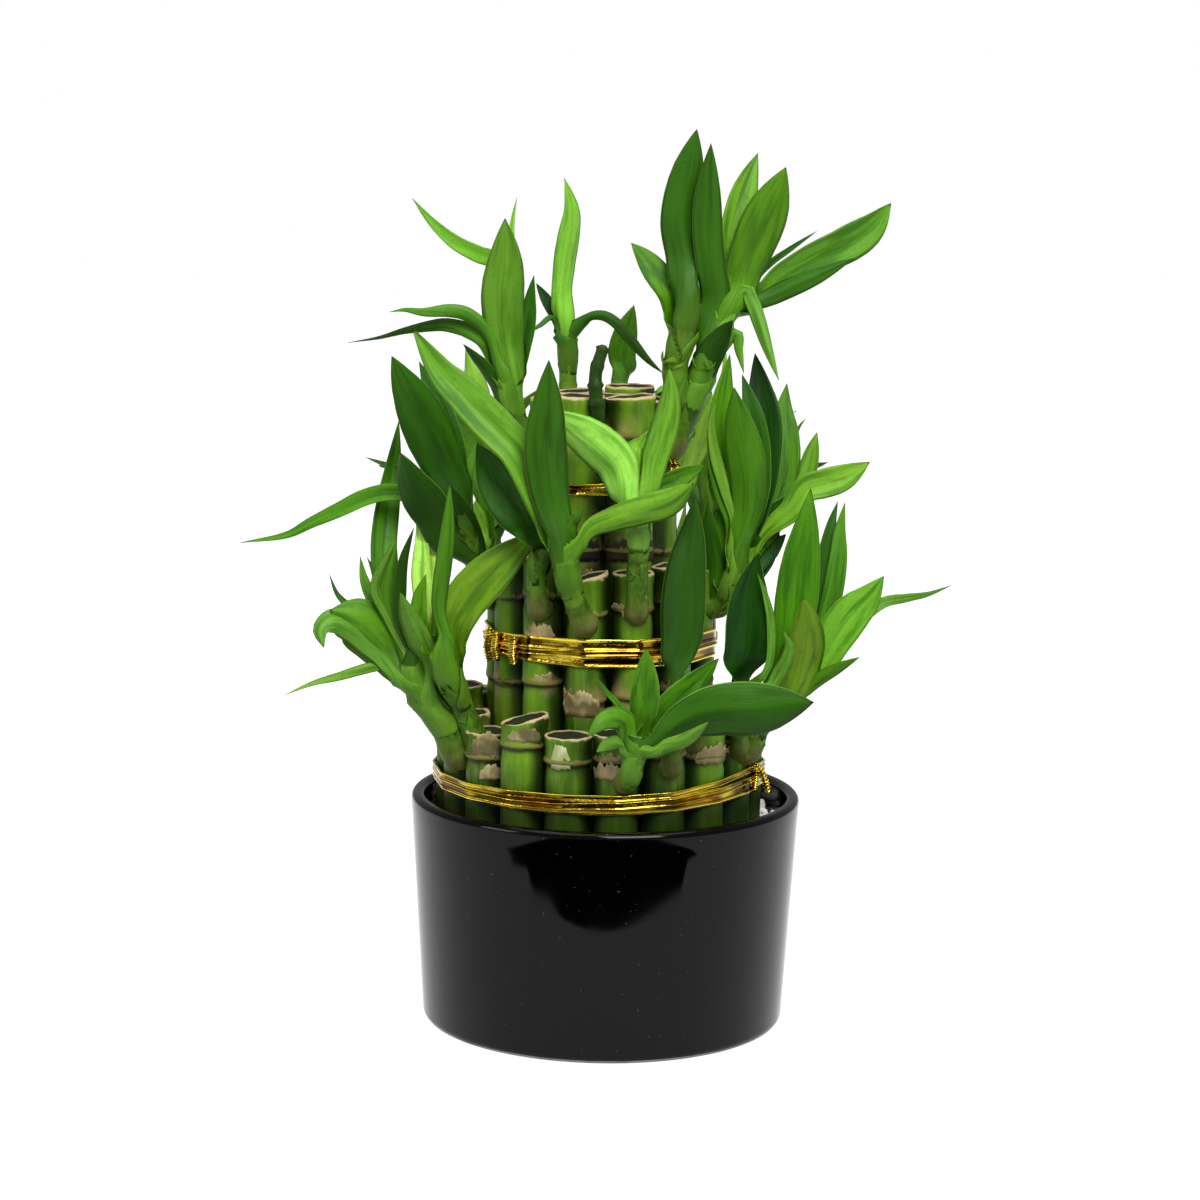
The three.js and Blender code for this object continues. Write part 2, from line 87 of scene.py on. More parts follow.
def tier_canes(tier):
    """The canes of a tier: name, place, bearing in radians, radius, top, cut slope and joints."""
    rows = []
    facts = TIERS[tier]
    for i, (top, rise) in enumerate(zip(facts["tops"], facts["rise"])):
        bearing = math.radians(facts["first"] + 360 * i / len(facts["tops"]))
        x = ACROSS + facts["ring"] * math.sin(bearing)
        y = -facts["ring"] * math.cos(bearing)
        rows.append(dict(
            name=f"cane_{tier}_{i + 1}", tier=tier, x=x, y=y, bearing=bearing,
            radius=facts["radius"], top=top, rise=rise, joints=facts["joints"],
        ))
    return rows


CANES = {tier: tier_canes(tier) for tier in TIERS}
HIDDEN_CANE = "cane_upper_7"  # the middle one of the bundle
CANES["upper"].append(dict(
    name=HIDDEN_CANE, tier="upper", x=ACROSS, y=0.0, bearing=0.0,
    radius=8.0, top=210, rise=0, joints=(12.0, 50.0),
))

# ---- Camera: the photograph's view ----

EYE = Vector((-2.8, -1030.0, 303.0))
PITCH = math.radians(8.91)  # down from level
ROLL = math.radians(0.89)
LENS = 94.08
SENSOR = 36  # width
PICTURE = 1200  # width and height of the front view, in its own points


def photo_camera():
    data = bpy.data.cameras.new("photo_camera")
    data.lens = LENS
    data.sensor_width = SENSOR
    camera = linked_object("photo_camera", data)
    turn = Matrix.Rotation(math.pi / 2 - PITCH, 4, "X") @ Matrix.Rotation(ROLL, 4, "Z")
    camera.matrix_world = Matrix.Translation(EYE * MM) @ turn
    bpy.context.scene.camera = camera


# ---- Node trees ----

def add_node(tree, kind, inputs=None, **settings):
    """A new node. Its inputs are given as plain values, or as sockets to link from."""
    node = tree.nodes.new(kind)
    for name, value in settings.items():
        setattr(node, name, value)
    for key, value in (inputs or {}).items():
        if isinstance(value, bpy.types.NodeSocket):
            tree.links.new(value, node.inputs[key])
        else:
            node.inputs[key].default_value = value
    return node


def maths(tree, operation, *values, clamp=False):
    node = add_node(tree, "ShaderNodeMath", dict(enumerate(values)), operation=operation, use_clamp=clamp)
    return node.outputs[0]


def times(tree, first, second):
    return maths(tree, "MULTIPLY", first, second)


def plus(tree, first, second):
    return maths(tree, "ADD", first, second)


def minus(tree, first, second):
    return maths(tree, "SUBTRACT", first, second)


def vector_maths(tree, operation, inputs, result=0):
    return add_node(tree, "ShaderNodeVectorMath", inputs, operation=operation).outputs[result]


def blend(tree, share, first, second, how="MIX"):
    """first and second mixed as colours, by share."""
    node = add_node(tree, "ShaderNodeMix", {0: share, 6: first, 7: second}, data_type="RGBA", blend_type=how)
    return node.outputs[2]


def between(tree, value, low, high, to_low=0.0, to_high=1.0):
    """value from low to high made a smooth step from to_low to to_high."""
    inputs = {0: value, 1: low, 2: high, 3: to_low, 4: to_high}
    return add_node(tree, "ShaderNodeMapRange", inputs, interpolation_type="SMOOTHSTEP").outputs[0]


def noise(tree, place, scale, detail=2.0, rough=0.5):
    inputs = {"Vector": place, "Scale": scale, "Detail": detail, "Roughness": rough}
    return add_node(tree, "ShaderNodeTexNoise", inputs).outputs["Fac"]


def stretched(tree, place, x, y, z):
    """place with its axes multiplied by x, y and z."""
    return vector_maths(tree, "MULTIPLY", {0: place, 1: (x, y, z)})


def vector(tree, x, y, z):
    return add_node(tree, "ShaderNodeCombineXYZ", {0: x, 1: y, 2: z}).outputs[0]


def random_push(tree, place, detail, far):
    """A random step, up to about half of far each way, that wanders over place."""
    inputs = {"Vector": place, "Scale": 330.0, "Detail": detail}
    colour = add_node(tree, "ShaderNodeTexNoise", inputs).outputs["Color"]
    centred = vector_maths(tree, "SUBTRACT", {0: colour, 1: (0.5, 0.5, 0.5)})
    return vector_maths(tree, "SCALE", {0: centred, "Scale": far})


def read(tree, name, part="Fac"):
    """An attribute of the mesh, read in a material."""
    return add_node(tree, "ShaderNodeAttribute", attribute_name=name).outputs[part]


def new_material(name, **values):
    """A material with the shader's plain values set on its own sockets. Gives it and its tree."""
    material = bpy.data.materials.new(name)
    material.use_nodes = True
    shader = material.node_tree.nodes["Principled BSDF"]
    for key, value in values.items():
        shader.inputs[key.replace("_", " ")].default_value = value
    return material, material.node_tree, shader


def feed(tree, shader, name, socket):
    tree.links.new(socket, shader.inputs[name])


def raise_bumps(tree, shader, height, strength, distance):
    inputs = {"Height": height, "Strength": strength, "Distance": distance}
    feed(tree, shader, "Normal", add_node(tree, "ShaderNodeBump", inputs).outputs[0])


def rgb(red, green, blue):
    """A colour as a screen shows it, 0 to 255, made linear."""
    return tuple((c / 255) ** 2.2 for c in (red, green, blue)) + (1.0,)


# ---- Materials ----

def object_place(tree):
    return add_node(tree, "ShaderNodeTexCoord").outputs["Object"]


def black_glaze():
    material, tree, shader = new_material("black_glaze", Specular_IOR_Level=0.17)
    place = object_place(tree)
    cloud = noise(tree, place, 22.0, 4.0, 0.6)
    colour = blend(tree, cloud, rgb(2, 2, 2), rgb(9, 9, 8))
    pinholes = between(tree, noise(tree, place, 900.0, 1.0), 0.76, 0.79, 0.0, 0.5)
    feed(tree, shader, "Base Color", blend(tree, pinholes, colour, rgb(92, 88, 80)))
    feed(tree, shader, "Roughness", between(tree, noise(tree, place, 60.0), 0.3, 0.7, 0.05, 0.1))
    raise_bumps(tree, shader, noise(tree, place, 40.0, 2.0), 0.06, 0.002)
    return material


def bare_clay():
    material, tree, shader = new_material("bare_clay")
    place = object_place(tree)
    grain = noise(tree, place, 900.0, 4.0, 0.7)
    stain = between(tree, noise(tree, place, 60.0, 3.0), 0.45, 0.75)
    colour = blend(tree, grain, rgb(150, 146, 140), rgb(205, 202, 196))
    feed(tree, shader, "Base Color", blend(tree, stain, colour, rgb(120, 112, 104)))
    feed(tree, shader, "Roughness", between(tree, grain, 0.2, 0.8, 0.75, 0.95))
    raise_bumps(tree, shader, grain, 0.4, 0.0004)
    return material


def white_pebble():
    material, tree, shader = new_material("white_pebble")
    place = object_place(tree)
    tone = read(tree, "tone")
    veins = noise(tree, place, 420.0, 4.0, 0.6)
    colour = blend(tree, tone, rgb(196, 192, 184), rgb(244, 243, 240))
    colour = blend(tree, between(tree, veins, 0.5, 0.8, 0.0, 0.5), colour, rgb(166, 160, 150))
    feed(tree, shader, "Base Color", colour)
    feed(tree, shader, "Roughness", between(tree, veins, 0.2, 0.8, 0.45, 0.8))
    raise_bumps(tree, shader, noise(tree, place, 1500.0, 3.0), 0.3, 0.0003)
    return material


def gold_foil():
    material, tree, shader = new_material("gold_foil", Metallic=1.0)
    place = object_place(tree)
    crease = noise(tree, place, 240.0, 3.0, 0.6)
    colour = blend(tree, crease, rgb(250, 206, 30), rgb(255, 240, 96))
    # Painted reflection and shade: dark brown horizontal streaks over the foil.
    dark = between(tree, noise(tree, stretched(tree, place, 1, 1, 4), 70.0, 2.0), 0.5, 0.66, 0.0, 0.7)
    colour = blend(tree, dark, colour, rgb(84, 46, 4))
    # Painted shade and dark reflection: the thin web between the beaded margins is dark brown in patches, for
    # the shade in its recess.
    redder = between(tree, noise(tree, place, 26.0, 1.0), 0.5, 0.6)
    web_shade = blend(tree, redder, rgb(48, 29, 3), rgb(88, 40, 5))
    sunk = between(tree, noise(tree, stretched(tree, place, 1, 1, 3), 52.0, 2.0), 0.36, 0.56, 0.5, 0.97)
    colour = blend(tree, times(tree, read(tree, "web"), sunk), colour, web_shade)
    feed(tree, shader, "Base Color", colour)
    feed(tree, shader, "Roughness", between(tree, crease, 0.25, 0.75, 0.08, 0.2))
    raise_bumps(tree, shader, crease, 0.35, 0.0006)
    return material


def cane_skin():
    """Living cane: streaked green, paler above each joint, a tan scar at it, and a dark cut top, with painted
    shade under each joint, between neighbouring canes and low down above the pot.
    """
    material, tree, shader = new_material("cane_skin", Specular_IOR_Level=0.2)
    place = object_place(tree)
    below = read(tree, "below")
    out = read(tree, "out")
    joint = read(tree, "joint")
    tone = read(tree, "tone")
    streaks = noise(tree, stretched(tree, place, 1, 1, 0.1), 420.0, 3.0, 0.6)
    patches = noise(tree, stretched(tree, place, 1, 1, 0.5), 75.0, 4.0, 0.6)
    green = blend(tree, tone, rgb(44, 78, 6), rgb(120, 170, 30))
    green = blend(tree, between(tree, patches, 0.32, 0.72, 0.0, 0.75), green, rgb(34, 62, 10))
    green = blend(tree, between(tree, streaks, 0.4, 0.8, 0.0, 0.3), green, rgb(138, 180, 52))
    # Painted shade: each cane is darkened on its sides, where it meets its neighbours in the ring.
    green = blend(tree, times(tree, read(tree, "shade_between_canes"), 0.9), green, rgb(20, 34, 6))
    yellowed = between(tree, noise(tree, place, 38.0, 2.0), 0.52, 0.75, 0.0, 0.3)
    green = blend(tree, yellowed, green, rgb(112, 120, 30))
    worn = between(tree, noise(tree, place, 31.0, 1.0), 0.5, 0.6)
    scuff = times(tree, between(tree, patches, 0.48, 0.6), between(tree, joint, 0.008, 0.001))
    scuff = times(tree, scuff, worn)
    green = blend(tree, times(tree, scuff, 0.8), green, rgb(142, 128, 78))
    ring_edge = times(tree, between(tree, streaks, 0.3, 0.7), 0.0012)
    ring = between(tree, minus(tree, joint, ring_edge), 0.0005, 0.0001, 0.0, 0.75)
    # Painted shade: the canes darken from 93 mm above the floor down to 80 mm, and stay dark below that.
    height_up = add_node(tree, "ShaderNodeSeparateXYZ", {0: place}).outputs[2]
    green = blend(tree, between(tree, height_up, 0.093, 0.08, 0.0, 0.8), green, rgb(20, 30, 6))
    skin = blend(tree, ring, green, rgb(132, 120, 66))
    # Painted shade: a dark band just below each joint.
    shade = between(tree, read(tree, "shade_under_joint"), 0.0, 1.0, 0.0, 0.85)
    skin = blend(tree, shade, skin, rgb(30, 30, 8))
    edge = plus(tree, below, times(tree, noise(tree, place, 300.0, 3.0), 0.0026))
    skin = blend(tree, between(tree, edge, 0.0022, 0.0014), skin, rgb(188, 170, 122))
    fibres = noise(tree, place, 1100.0, 3.0, 0.7)
    core = blend(tree, fibres, rgb(8, 14, 6), rgb(44, 56, 30))
    rim = plus(tree, out, times(tree, noise(tree, place, 240.0, 3.0), 0.12))
    cut = blend(tree, between(tree, rim, 0.94, 0.985), core, rgb(180, 158, 116))
    top = between(tree, read(tree, "cut"), 0.4, 0.6)
    feed(tree, shader, "Base Color", blend(tree, top, skin, cut))
    rough = between(tree, patches, 0.2, 0.8, 0.36, 0.6)
    feed(tree, shader, "Roughness", maths(tree, "ADD", rough, times(tree, top, 0.3), clamp=True))
    height = plus(tree, times(tree, streaks, 0.5), times(tree, fibres, 0.3))
    raise_bumps(tree, shader, height, 0.35, 0.0006)
    return material


def dry_sheath(name="dry_sheath", low=(108, 94, 50), high=(190, 172, 122), stained=(66, 62, 18)):
    """The papery remains of old leaf sheaths at the joints, and scars."""
    material, tree, shader = new_material(name, Roughness=0.8)
    place = object_place(tree)
    fibres = noise(tree, stretched(tree, place, 1, 1, 0.2), 520.0, 4.0, 0.65)
    patches = noise(tree, place, 110.0, 3.0)
    colour = blend(tree, fibres, rgb(*low), rgb(*high))
    stain = between(tree, patches, 0.42, 0.6, 0.0, 0.85)
    feed(tree, shader, "Base Color", blend(tree, stain, colour, rgb(*stained)))
    raise_bumps(tree, shader, fibres, 0.5, 0.0006)
    return material


def living_leaf():
    """
    Leaves and sheaths. The mesh gives each leaf's colour, its own tone with painted light and shade in it,
    as leaf_tone, with how much its upper side shows in the alpha, and a UV map with across (0 to 1,
    middle 0.5) and along (0 at the stem, 1 at the tip).
    """
    material, tree, shader = new_material("living_leaf", Specular_IOR_Level=0.13)
    grain_place = add_node(tree, "ShaderNodeUVMap", uv_map="leaf_grain").outputs[0]
    parts = add_node(tree, "ShaderNodeSeparateXYZ", {0: grain_place})
    across, along = parts.outputs[0], parts.outputs[1]
    tone = read(tree, "leaf_tone", "Color")
    upper = read(tree, "leaf_tone", "Alpha")
    place = object_place(tree)
    veins_place = vector(tree, times(tree, across, 30.0), times(tree, along, 1.6), read(tree, "leaf_seed"))
    veins = noise(tree, veins_place, 1.0, 3.0, 0.6)
    broad = noise(tree, stretched(tree, veins_place, 0.14, 1.5, 1.0), 1.0, 2.0, 0.5)
    cloud = noise(tree, stretched(tree, veins_place, 0.1, 1.5, 3.0), 1.0, 3.0, 0.6)
    mottle = noise(tree, place, 420.0, 4.0, 0.65)
    light = blend(tree, 1.0, tone, (1.8, 1.5, 1.7, 1.0), "MULTIPLY")
    dark = blend(tree, 1.0, tone, (0.24, 0.4, 0.1, 1.0), "MULTIPLY")
    colour = blend(tree, between(tree, veins, 0.3, 0.72, 0.0, 0.34), tone, light)
    colour = blend(tree, between(tree, broad, 0.4, 0.68, 0.0, 0.75), colour, dark)
    # Partly the leaf's own streaks, partly painted highlight: broad paler streaks stand in for its gloss.
    colour = blend(tree, between(tree, cloud, 0.44, 0.78, 0.0, 0.6), colour, light)
    colour = blend(tree, between(tree, mottle, 0.5, 0.75, 0.0, 0.3), colour, dark)
    from_middle = maths(tree, "ABSOLUTE", minus(tree, across, 0.5))
    rib = between(tree, from_middle, 0.03, 0.0, 0.0, 0.35)
    colour = blend(tree, rib, colour, dark)
    # Painted shade: the leaf darkens towards both margins.
    outer = between(tree, from_middle, 0.3, 0.46, 0.0, 0.12)
    colour = blend(tree, outer, colour, dark)
    margin = between(tree, from_middle, 0.462, 0.492, 0.0, 0.6)
    colour = blend(tree, margin, colour, rgb(132, 172, 70))
    base = between(tree, along, 0.14, -0.1, 0.0, 0.5)
    colour = blend(tree, base, colour, rgb(88, 122, 40))
    pale = times(tree, minus(tree, 1.0, upper), 0.12)
    colour = blend(tree, pale, colour, rgb(94, 142, 44))
    tip = between(tree, along, 0.97, 0.995, 0.0, 0.75)
    colour = blend(tree, tip, colour, rgb(54, 56, 20))
    feed(tree, shader, "Base Color", colour)
    feed(tree, shader, "Roughness", between(tree, mottle, 0.25, 0.75, 0.34, 0.5))
    height = plus(tree, veins, times(tree, mottle, 0.5))
    raise_bumps(tree, shader, height, 0.3, 0.0005)
    return material


def stem_skin(name="stem_skin", low=(44, 76, 10), high=(104, 138, 40)):
    """Stems of the shoots and their knobbly feet: grey-green, tan where they join the cane."""
    material, tree, shader = new_material(name, Roughness=0.5, Specular_IOR_Level=0.15)
    place = object_place(tree)
    along = read(tree, "along_stem")
    streaks = noise(tree, stretched(tree, place, 1, 1, 0.3), 300.0, 3.0, 0.6)
    patches = noise(tree, place, 120.0, 4.0, 0.65)
    green = blend(tree, streaks, rgb(*low), rgb(*high))
    green = blend(tree, between(tree, patches, 0.42, 0.68, 0.0, 0.7), green, rgb(28, 56, 8))
    stained = between(tree, patches, 0.4, 0.55, 0.35, 0.9)
    foot = times(tree, between(tree, along, 0.011, 0.002), stained)
    woody = blend(tree, streaks, rgb(66, 72, 26), rgb(146, 138, 82))
    feed(tree, shader, "Base Color", blend(tree, foot, green, woody))
    raise_bumps(tree, shader, plus(tree, streaks, patches), 0.5, 0.0008)
    return material


def matt_card():
    material, tree, shader = new_material("matt_card", Roughness=1.0, Specular_IOR_Level=0.0)
    cloud = noise(tree, object_place(tree), 20.0)
    feed(tree, shader, "Base Color", blend(tree, cloud, rgb(0, 0, 0), rgb(6, 5, 5)))
    return material


def studio_floor():
    """Nearly white by its own light, so that it stays as pale as the photograph's background."""
    material, tree, shader = new_material(
        "studio_floor", Roughness=0.9, Specular_IOR_Level=0.0, Emission_Strength=0.92,
    )
    shader.inputs["Emission Color"].default_value = (1, 1, 1, 1)
    cloud = noise(tree, object_place(tree), 4.0)
    feed(tree, shader, "Base Color", blend(tree, cloud, rgb(140, 140, 140), rgb(146, 146, 146)))
    return material


# ---- Meshes ----

def linked_object(name, data):
    thing = bpy.data.objects.new(name, data)
    bpy.context.scene.collection.objects.link(thing)
    return thing


def new_object(name, mesh, materials):
    piece = linked_object(name, mesh)
    for material in materials:
        mesh.materials.append(material)
    return piece


def mesh_of(name, points, faces, edges=()):
    """A mesh of points in millimetres."""
    mesh = bpy.data.meshes.new(name)
    mesh.from_pydata([tuple(c * MM for c in p) for p in points], list(edges), faces)
    return mesh


def on_circle(radius, i, sides):
    """Place i of that many on a circle about the Z axis."""
    angle = 2 * math.pi * i / sides
    return radius * math.cos(angle), radius * math.sin(angle)


def finish_piece(piece, slot, *nodes):
    """Puts the piece in the root body and hides the nodes that it replaces. slot is not used."""
    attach(piece, "root")
    if nodes:
        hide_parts(*nodes)


def turned_mesh(name, profile, sides):
    """A closed turned mesh from [radius, height] points that start and end on the axis, in millimetres."""
    rows = profile[1:-1]
    points = [(0, 0, profile[0][1]), (0, 0, profile[-1][1])]
    for radius, height in rows:
        points += [(*on_circle(radius, i, sides), height) for i in range(sides)]
    faces = []
    for row in range(len(rows) - 1):
        low = 2 + row * sides
        for i in range(sides):
            j = (i + 1) % sides
            faces.append((low + i, low + j, low + sides + j, low + sides + i))
    last = 2 + (len(rows) - 1) * sides
    for i in range(sides):
        j = (i + 1) % sides
        faces.append((0, 2 + j, 2 + i))
        faces.append((1, last + i, last + j))
    mesh = mesh_of(name, points, faces)
    mesh.shade_smooth()
    return mesh


def quarter(x, z, radius, start, steps=8):
    """A quarter turn of points about (x, z), from that angle in degrees."""
    angles = [math.radians(start + 90 * i / steps) for i in range(steps + 1)]
    return [(x + radius * math.cos(a), z + radius * math.sin(a)) for a in angles]


# ---- Pot ----

CLAY_LINE = 1.5  # height of the glaze's lower edge


def make_pot():
    rim, foot, height, lip, heel = (POT[k] for k in ("rim", "foot", "height", "lip", "heel"))
    profile = [(0, 0)]
    profile += quarter(foot - heel, heel, heel, -90)
    wall_low, wall_high = (foot, heel), (rim, height - lip)
    for i in range(1, 12):
        profile.append(tuple(a + (b - a) * i / 12 for a, b in zip(wall_low, wall_high)))
    profile += quarter(rim - lip, height - lip, lip, 0)
    profile += quarter(POT["inside_top"] + lip, height - lip, lip, 90)
    profile += [(POT["inside_floor"], POT["floor"] + heel), (POT["inside_floor"] - heel / 2, POT["floor"])]
    profile.append((0, POT["floor"]))
    mesh = turned_mesh("pot_glazed", profile, 160)
    pot = new_object("pot_glazed", mesh, [black_glaze(), bare_clay()])
    for face in mesh.polygons:
        if face.center.z < CLAY_LINE * MM:
            face.material_index = 1
    finish_piece(pot, "glaze", "pot")


# ---- Geometry Nodes trees ----

class Tree:
    """A Geometry Nodes tree with named inputs, run on a mesh to give a plain mesh."""

    def __init__(self, name, inputs):
        self.tree = bpy.data.node_groups.new(name, "GeometryNodeTree")
        face = self.tree.interface
        self.ids = {}
        for label, kind in {"Mesh": "Geometry", **inputs}.items():
            socket = face.new_socket(label, in_out="INPUT", socket_type=f"NodeSocket{kind}")
            self.ids[label] = socket.identifier
        face.new_socket("Mesh", in_out="OUTPUT", socket_type="NodeSocketGeometry")
        self.given = self.tree.nodes.new("NodeGroupInput").outputs

    def end(self, geometry, material):
        """Makes instances real and sets the material last, as the export needs."""
        real = add_node(self.tree, "GeometryNodeRealizeInstances", {0: geometry}).outputs[0]
        done = add_node(self.tree, "GeometryNodeSetMaterial", {0: real}).outputs[0]
        done.node.inputs["Material"].default_value = material
        self.tree.links.new(done, self.tree.nodes.new("NodeGroupOutput").inputs[0])

    def run(self, name, mesh, values):
        """The mesh that the tree makes of that mesh with those values."""
        holder = linked_object(f"{name}_holder", mesh)
        modifier = holder.modifiers.new("tree", "NODES")
        modifier.node_group = self.tree
        for label, value in values.items():
            modifier[self.ids[label]] = value
        bpy.context.view_layer.update()
        evaluated = holder.evaluated_get(bpy.context.evaluated_depsgraph_get())
        made = bpy.data.meshes.new_from_object(evaluated)
        made.name = name
        holder.modifiers.remove(modifier)
        bpy.data.objects.remove(holder)
        return made


def single_point():
    return mesh_of("single_point", [(0, 0, 0)], [])


def keep_number(tree, geometry, name, value, domain="POINT"):
    inputs = {"Geometry": geometry, "Name": name, "Value": value}
    return add_node(tree, "GeometryNodeStoreNamedAttribute", inputs, domain=domain).outputs[0]


# ---- Canes ----

CANE_SIDES = 40
CANE_ROWS = 150
# Painted light and shade as well as the canes' own tone: the upper tier's canes are lighter, those of the
# middle and lower tiers darker. Within a tier the tone is random.
CANE_TONES = {"upper": (0.75, 1.0), "middle": (0.15, 0.7), "lower": (0.1, 0.75)}  # how light, 0 to 1


def cane_tree(material):
    """
    A cane about the Z axis, from its foot to its cut top. Each joint is a thin raised scar over a
    slight waist, and the cut flares a little and slopes.
    """
    numbers = ("Radius", "Foot", "Top", "Rise", "Joint 1", "Joint 2", "Tone", "Facing", "Seed")
    grown = Tree("cane", {label: "Float" for label in numbers})
    tree, given = grown.tree, grown.given
    tall = minus(tree, given["Top"], given["Foot"])
    blank = add_node(tree, "GeometryNodeMeshCylinder", {
        "Vertices": CANE_SIDES, "Side Segments": CANE_ROWS, "Fill Segments": 5,
        "Radius": given["Radius"], "Depth": tall,
    }, fill_type="TRIANGLE_FAN")
    middle = times(tree, plus(tree, given["Top"], given["Foot"]), 0.5)
    lifted = {0: blank.outputs[0], "Translation": vector(tree, 0.0, 0.0, middle)}
    placed = add_node(tree, "GeometryNodeTransform", lifted)
    place = add_node(tree, "GeometryNodeInputPosition").outputs[0]
    axes = add_node(tree, "ShaderNodeSeparateXYZ", {0: place}).outputs
    level = vector(tree, axes[0], axes[1], 0.0)
    out = maths(tree, "DIVIDE", vector_maths(tree, "LENGTH", {0: level}, "Value"), given["Radius"])
    below = minus(tree, given["Top"], axes[2])
    cut = maths(tree, "LESS_THAN", below, 0.00002)
    seed = given["Seed"]
    wander_place = vector_maths(tree, "ADD", {0: place, 1: vector(tree, seed, seed, seed)})
    wander = minus(tree, noise(tree, stretched(tree, wander_place, 1, 1, 0.4), 90.0, 2.0), 0.5)
    ragged = minus(tree, noise(tree, wander_place, 260.0, 3.0), 0.5)
    waver = times(tree, ragged, 0.0011)
    near, bulge, shade = None, 0.0, 0.0
    for label in ("Joint 1", "Joint 2"):
        under = plus(tree, minus(tree, below, given[label]), waver)
        away = maths(tree, "ABSOLUTE", under)
        near = away if near is None else maths(tree, "MINIMUM", near, away)
        scar = between(tree, away, 0.0009, 0.0002, 0.0, 0.0003)
        shoulder = between(tree, away, 0.004, 0.0, 0.0, 0.0002)
        hollow = between(tree, under, 0.006, 0.0015, 0.0, -0.0005)
        waist = times(tree, between(tree, under, 0.0, 0.0012), hollow)
        bulge = plus(tree, bulge, plus(tree, scar, plus(tree, shoulder, waist)))
        # Painted shade: a band from just below each joint to about 3 mm under it.
        fading = between(tree, under, 0.0028, 0.0012)
        shade = plus(tree, shade, times(tree, between(tree, under, 0.0002, 0.0009), fading))
    flare = between(tree, below, 0.005, 0.0, 0.0, 0.0004)
    worn = between(tree, below, 0.0008, 0.0, 0.0, -0.0004)
    grow = plus(tree, plus(tree, bulge, flare), worn)
    grow = plus(tree, grow, times(tree, wander, 0.0006))
    scale = plus(tree, 1.0, maths(tree, "DIVIDE", grow, given["Radius"]))
    outer = between(tree, out, 0.2, 1.0)
    scale = plus(tree, 1.0, times(tree, minus(tree, scale, 1.0), outer))
    near_top = between(tree, below, 0.0015, 0.0)
    slope = times(tree, times(tree, given["Rise"], axes[0]), near_top)
    dish = times(tree, cut, between(tree, out, 0.97, 0.8, 0.0, -0.0007))
    chips = times(tree, times(tree, ragged, near_top), 0.0014)
    height = plus(tree, axes[2], plus(tree, slope, plus(tree, dish, chips)))
    moved = vector(tree, times(tree, axes[0], scale), times(tree, axes[1], scale), height)
    # Painted shade: how far the skin faces along the ring towards the neighbouring canes, kept as
    # shade_between_canes.
    turn = given["Facing"]
    facing = vector(tree, maths(tree, "COSINE", turn), maths(tree, "SINE", turn), 0.0)
    aside = vector_maths(tree, "DOT_PRODUCT", {0: level, 1: facing}, "Value")
    aside = maths(tree, "ABSOLUTE", maths(tree, "DIVIDE", aside, given["Radius"]))
    kept = {
        "below": below, "out": out, "cut": cut, "joint": near, "shade_under_joint": shade,
        "tone": given["Tone"], "shade_between_canes": between(tree, aside, 0.62, 0.96),
    }
    geometry = placed.outputs[0]
    for label, value in kept.items():
        geometry = keep_number(tree, geometry, label, value)
    geometry = add_node(tree, "GeometryNodeSetPosition", {"Geometry": geometry, "Position": moved}).outputs[0]
    geometry = add_node(tree, "GeometryNodeSetShadeSmooth", {0: geometry}).outputs[0]
    grown.end(geometry, material)
    return grown


def make_canes():
    draw = random.Random(4)
    tree = cane_tree(cane_skin())
    for rows in CANES.values():
        for cane in rows:
            first, second = cane["joints"]
            values = {
                "Radius": cane["radius"] * MM, "Foot": CANE_FOOT * MM, "Top": cane["top"] * MM,
                "Rise": float(cane["rise"]), "Joint 1": first * MM, "Joint 2": second * MM,
                "Tone": draw.uniform(*CANE_TONES[cane["tier"]]), "Facing": cane["bearing"],
                "Seed": draw.uniform(1, 9),
            }
            mesh = tree.run(f"{cane['name']}_skin", single_point(), values)
            mesh.transform(Matrix.Translation(Vector((cane["x"], cane["y"], 0)) * MM))
            piece = new_object(mesh.name, mesh, [])
            finish_piece(piece, "cane", cane["name"])


# ---- Dried sheaths on the canes ----

def ring_band(cane, low, high, start, span, draw, lift=0.35):
    """
    A strip of dry sheath round a cane, from bearing start over span degrees, with a ragged upper
    edge that stands off a little. Gives points and faces of a thin closed skin.
    """
    columns, rows = max(10, int(span / 3)), 5
    skins = []
    edge = [draw.uniform(-1, 1) for _ in range(columns + 1)]
    edge = [(edge[max(0, i - 1)] + 3 * edge[i] + edge[min(columns, i + 1)]) / 5 for i in range(columns + 1)]
    for inner in (0, 1):
        for row in range(rows + 1):
            up = row / rows
            for i in range(columns + 1):
                bearing = cane["bearing"] + math.radians(start + span * i / columns)
                taper = math.sin(math.pi * min(1, max(0, i / columns * 0.94 + 0.03))) ** 0.4
                height = low + (high - low) * up * taper + edge[i] * (1.5 * up - 0.5 * (1 - up))
                stand = cane["radius"] + 0.12 + lift * up ** 1.5 + 0.15 * abs(edge[i]) - 0.22 * inner
                x = cane["x"] + stand * math.sin(bearing)
                y = cane["y"] - stand * math.cos(bearing)
                skins.append((x, y, height))
    wide = columns + 1
    half = (rows + 1) * wide
    faces = []
    for row in range(rows):
        for i in range(columns):
            a = row * wide + i
            faces.append((a, a + 1, a + wide + 1, a + wide))
            b = half + a
            faces.append((b, b + wide, b + wide + 1, b + 1))
    for i in range(columns):
        faces.append((i + 1, i, half + i, half + i + 1))
        top = rows * wide + i
        faces.append((top, top + 1, half + top + 1, half + top))
    for row in range(rows):
        a = row * wide
        faces.append((a, a + wide, half + a + wide, half + a))
        b = a + columns
        faces.append((b + wide, b, half + b, half + b + wide))
    return skins, faces


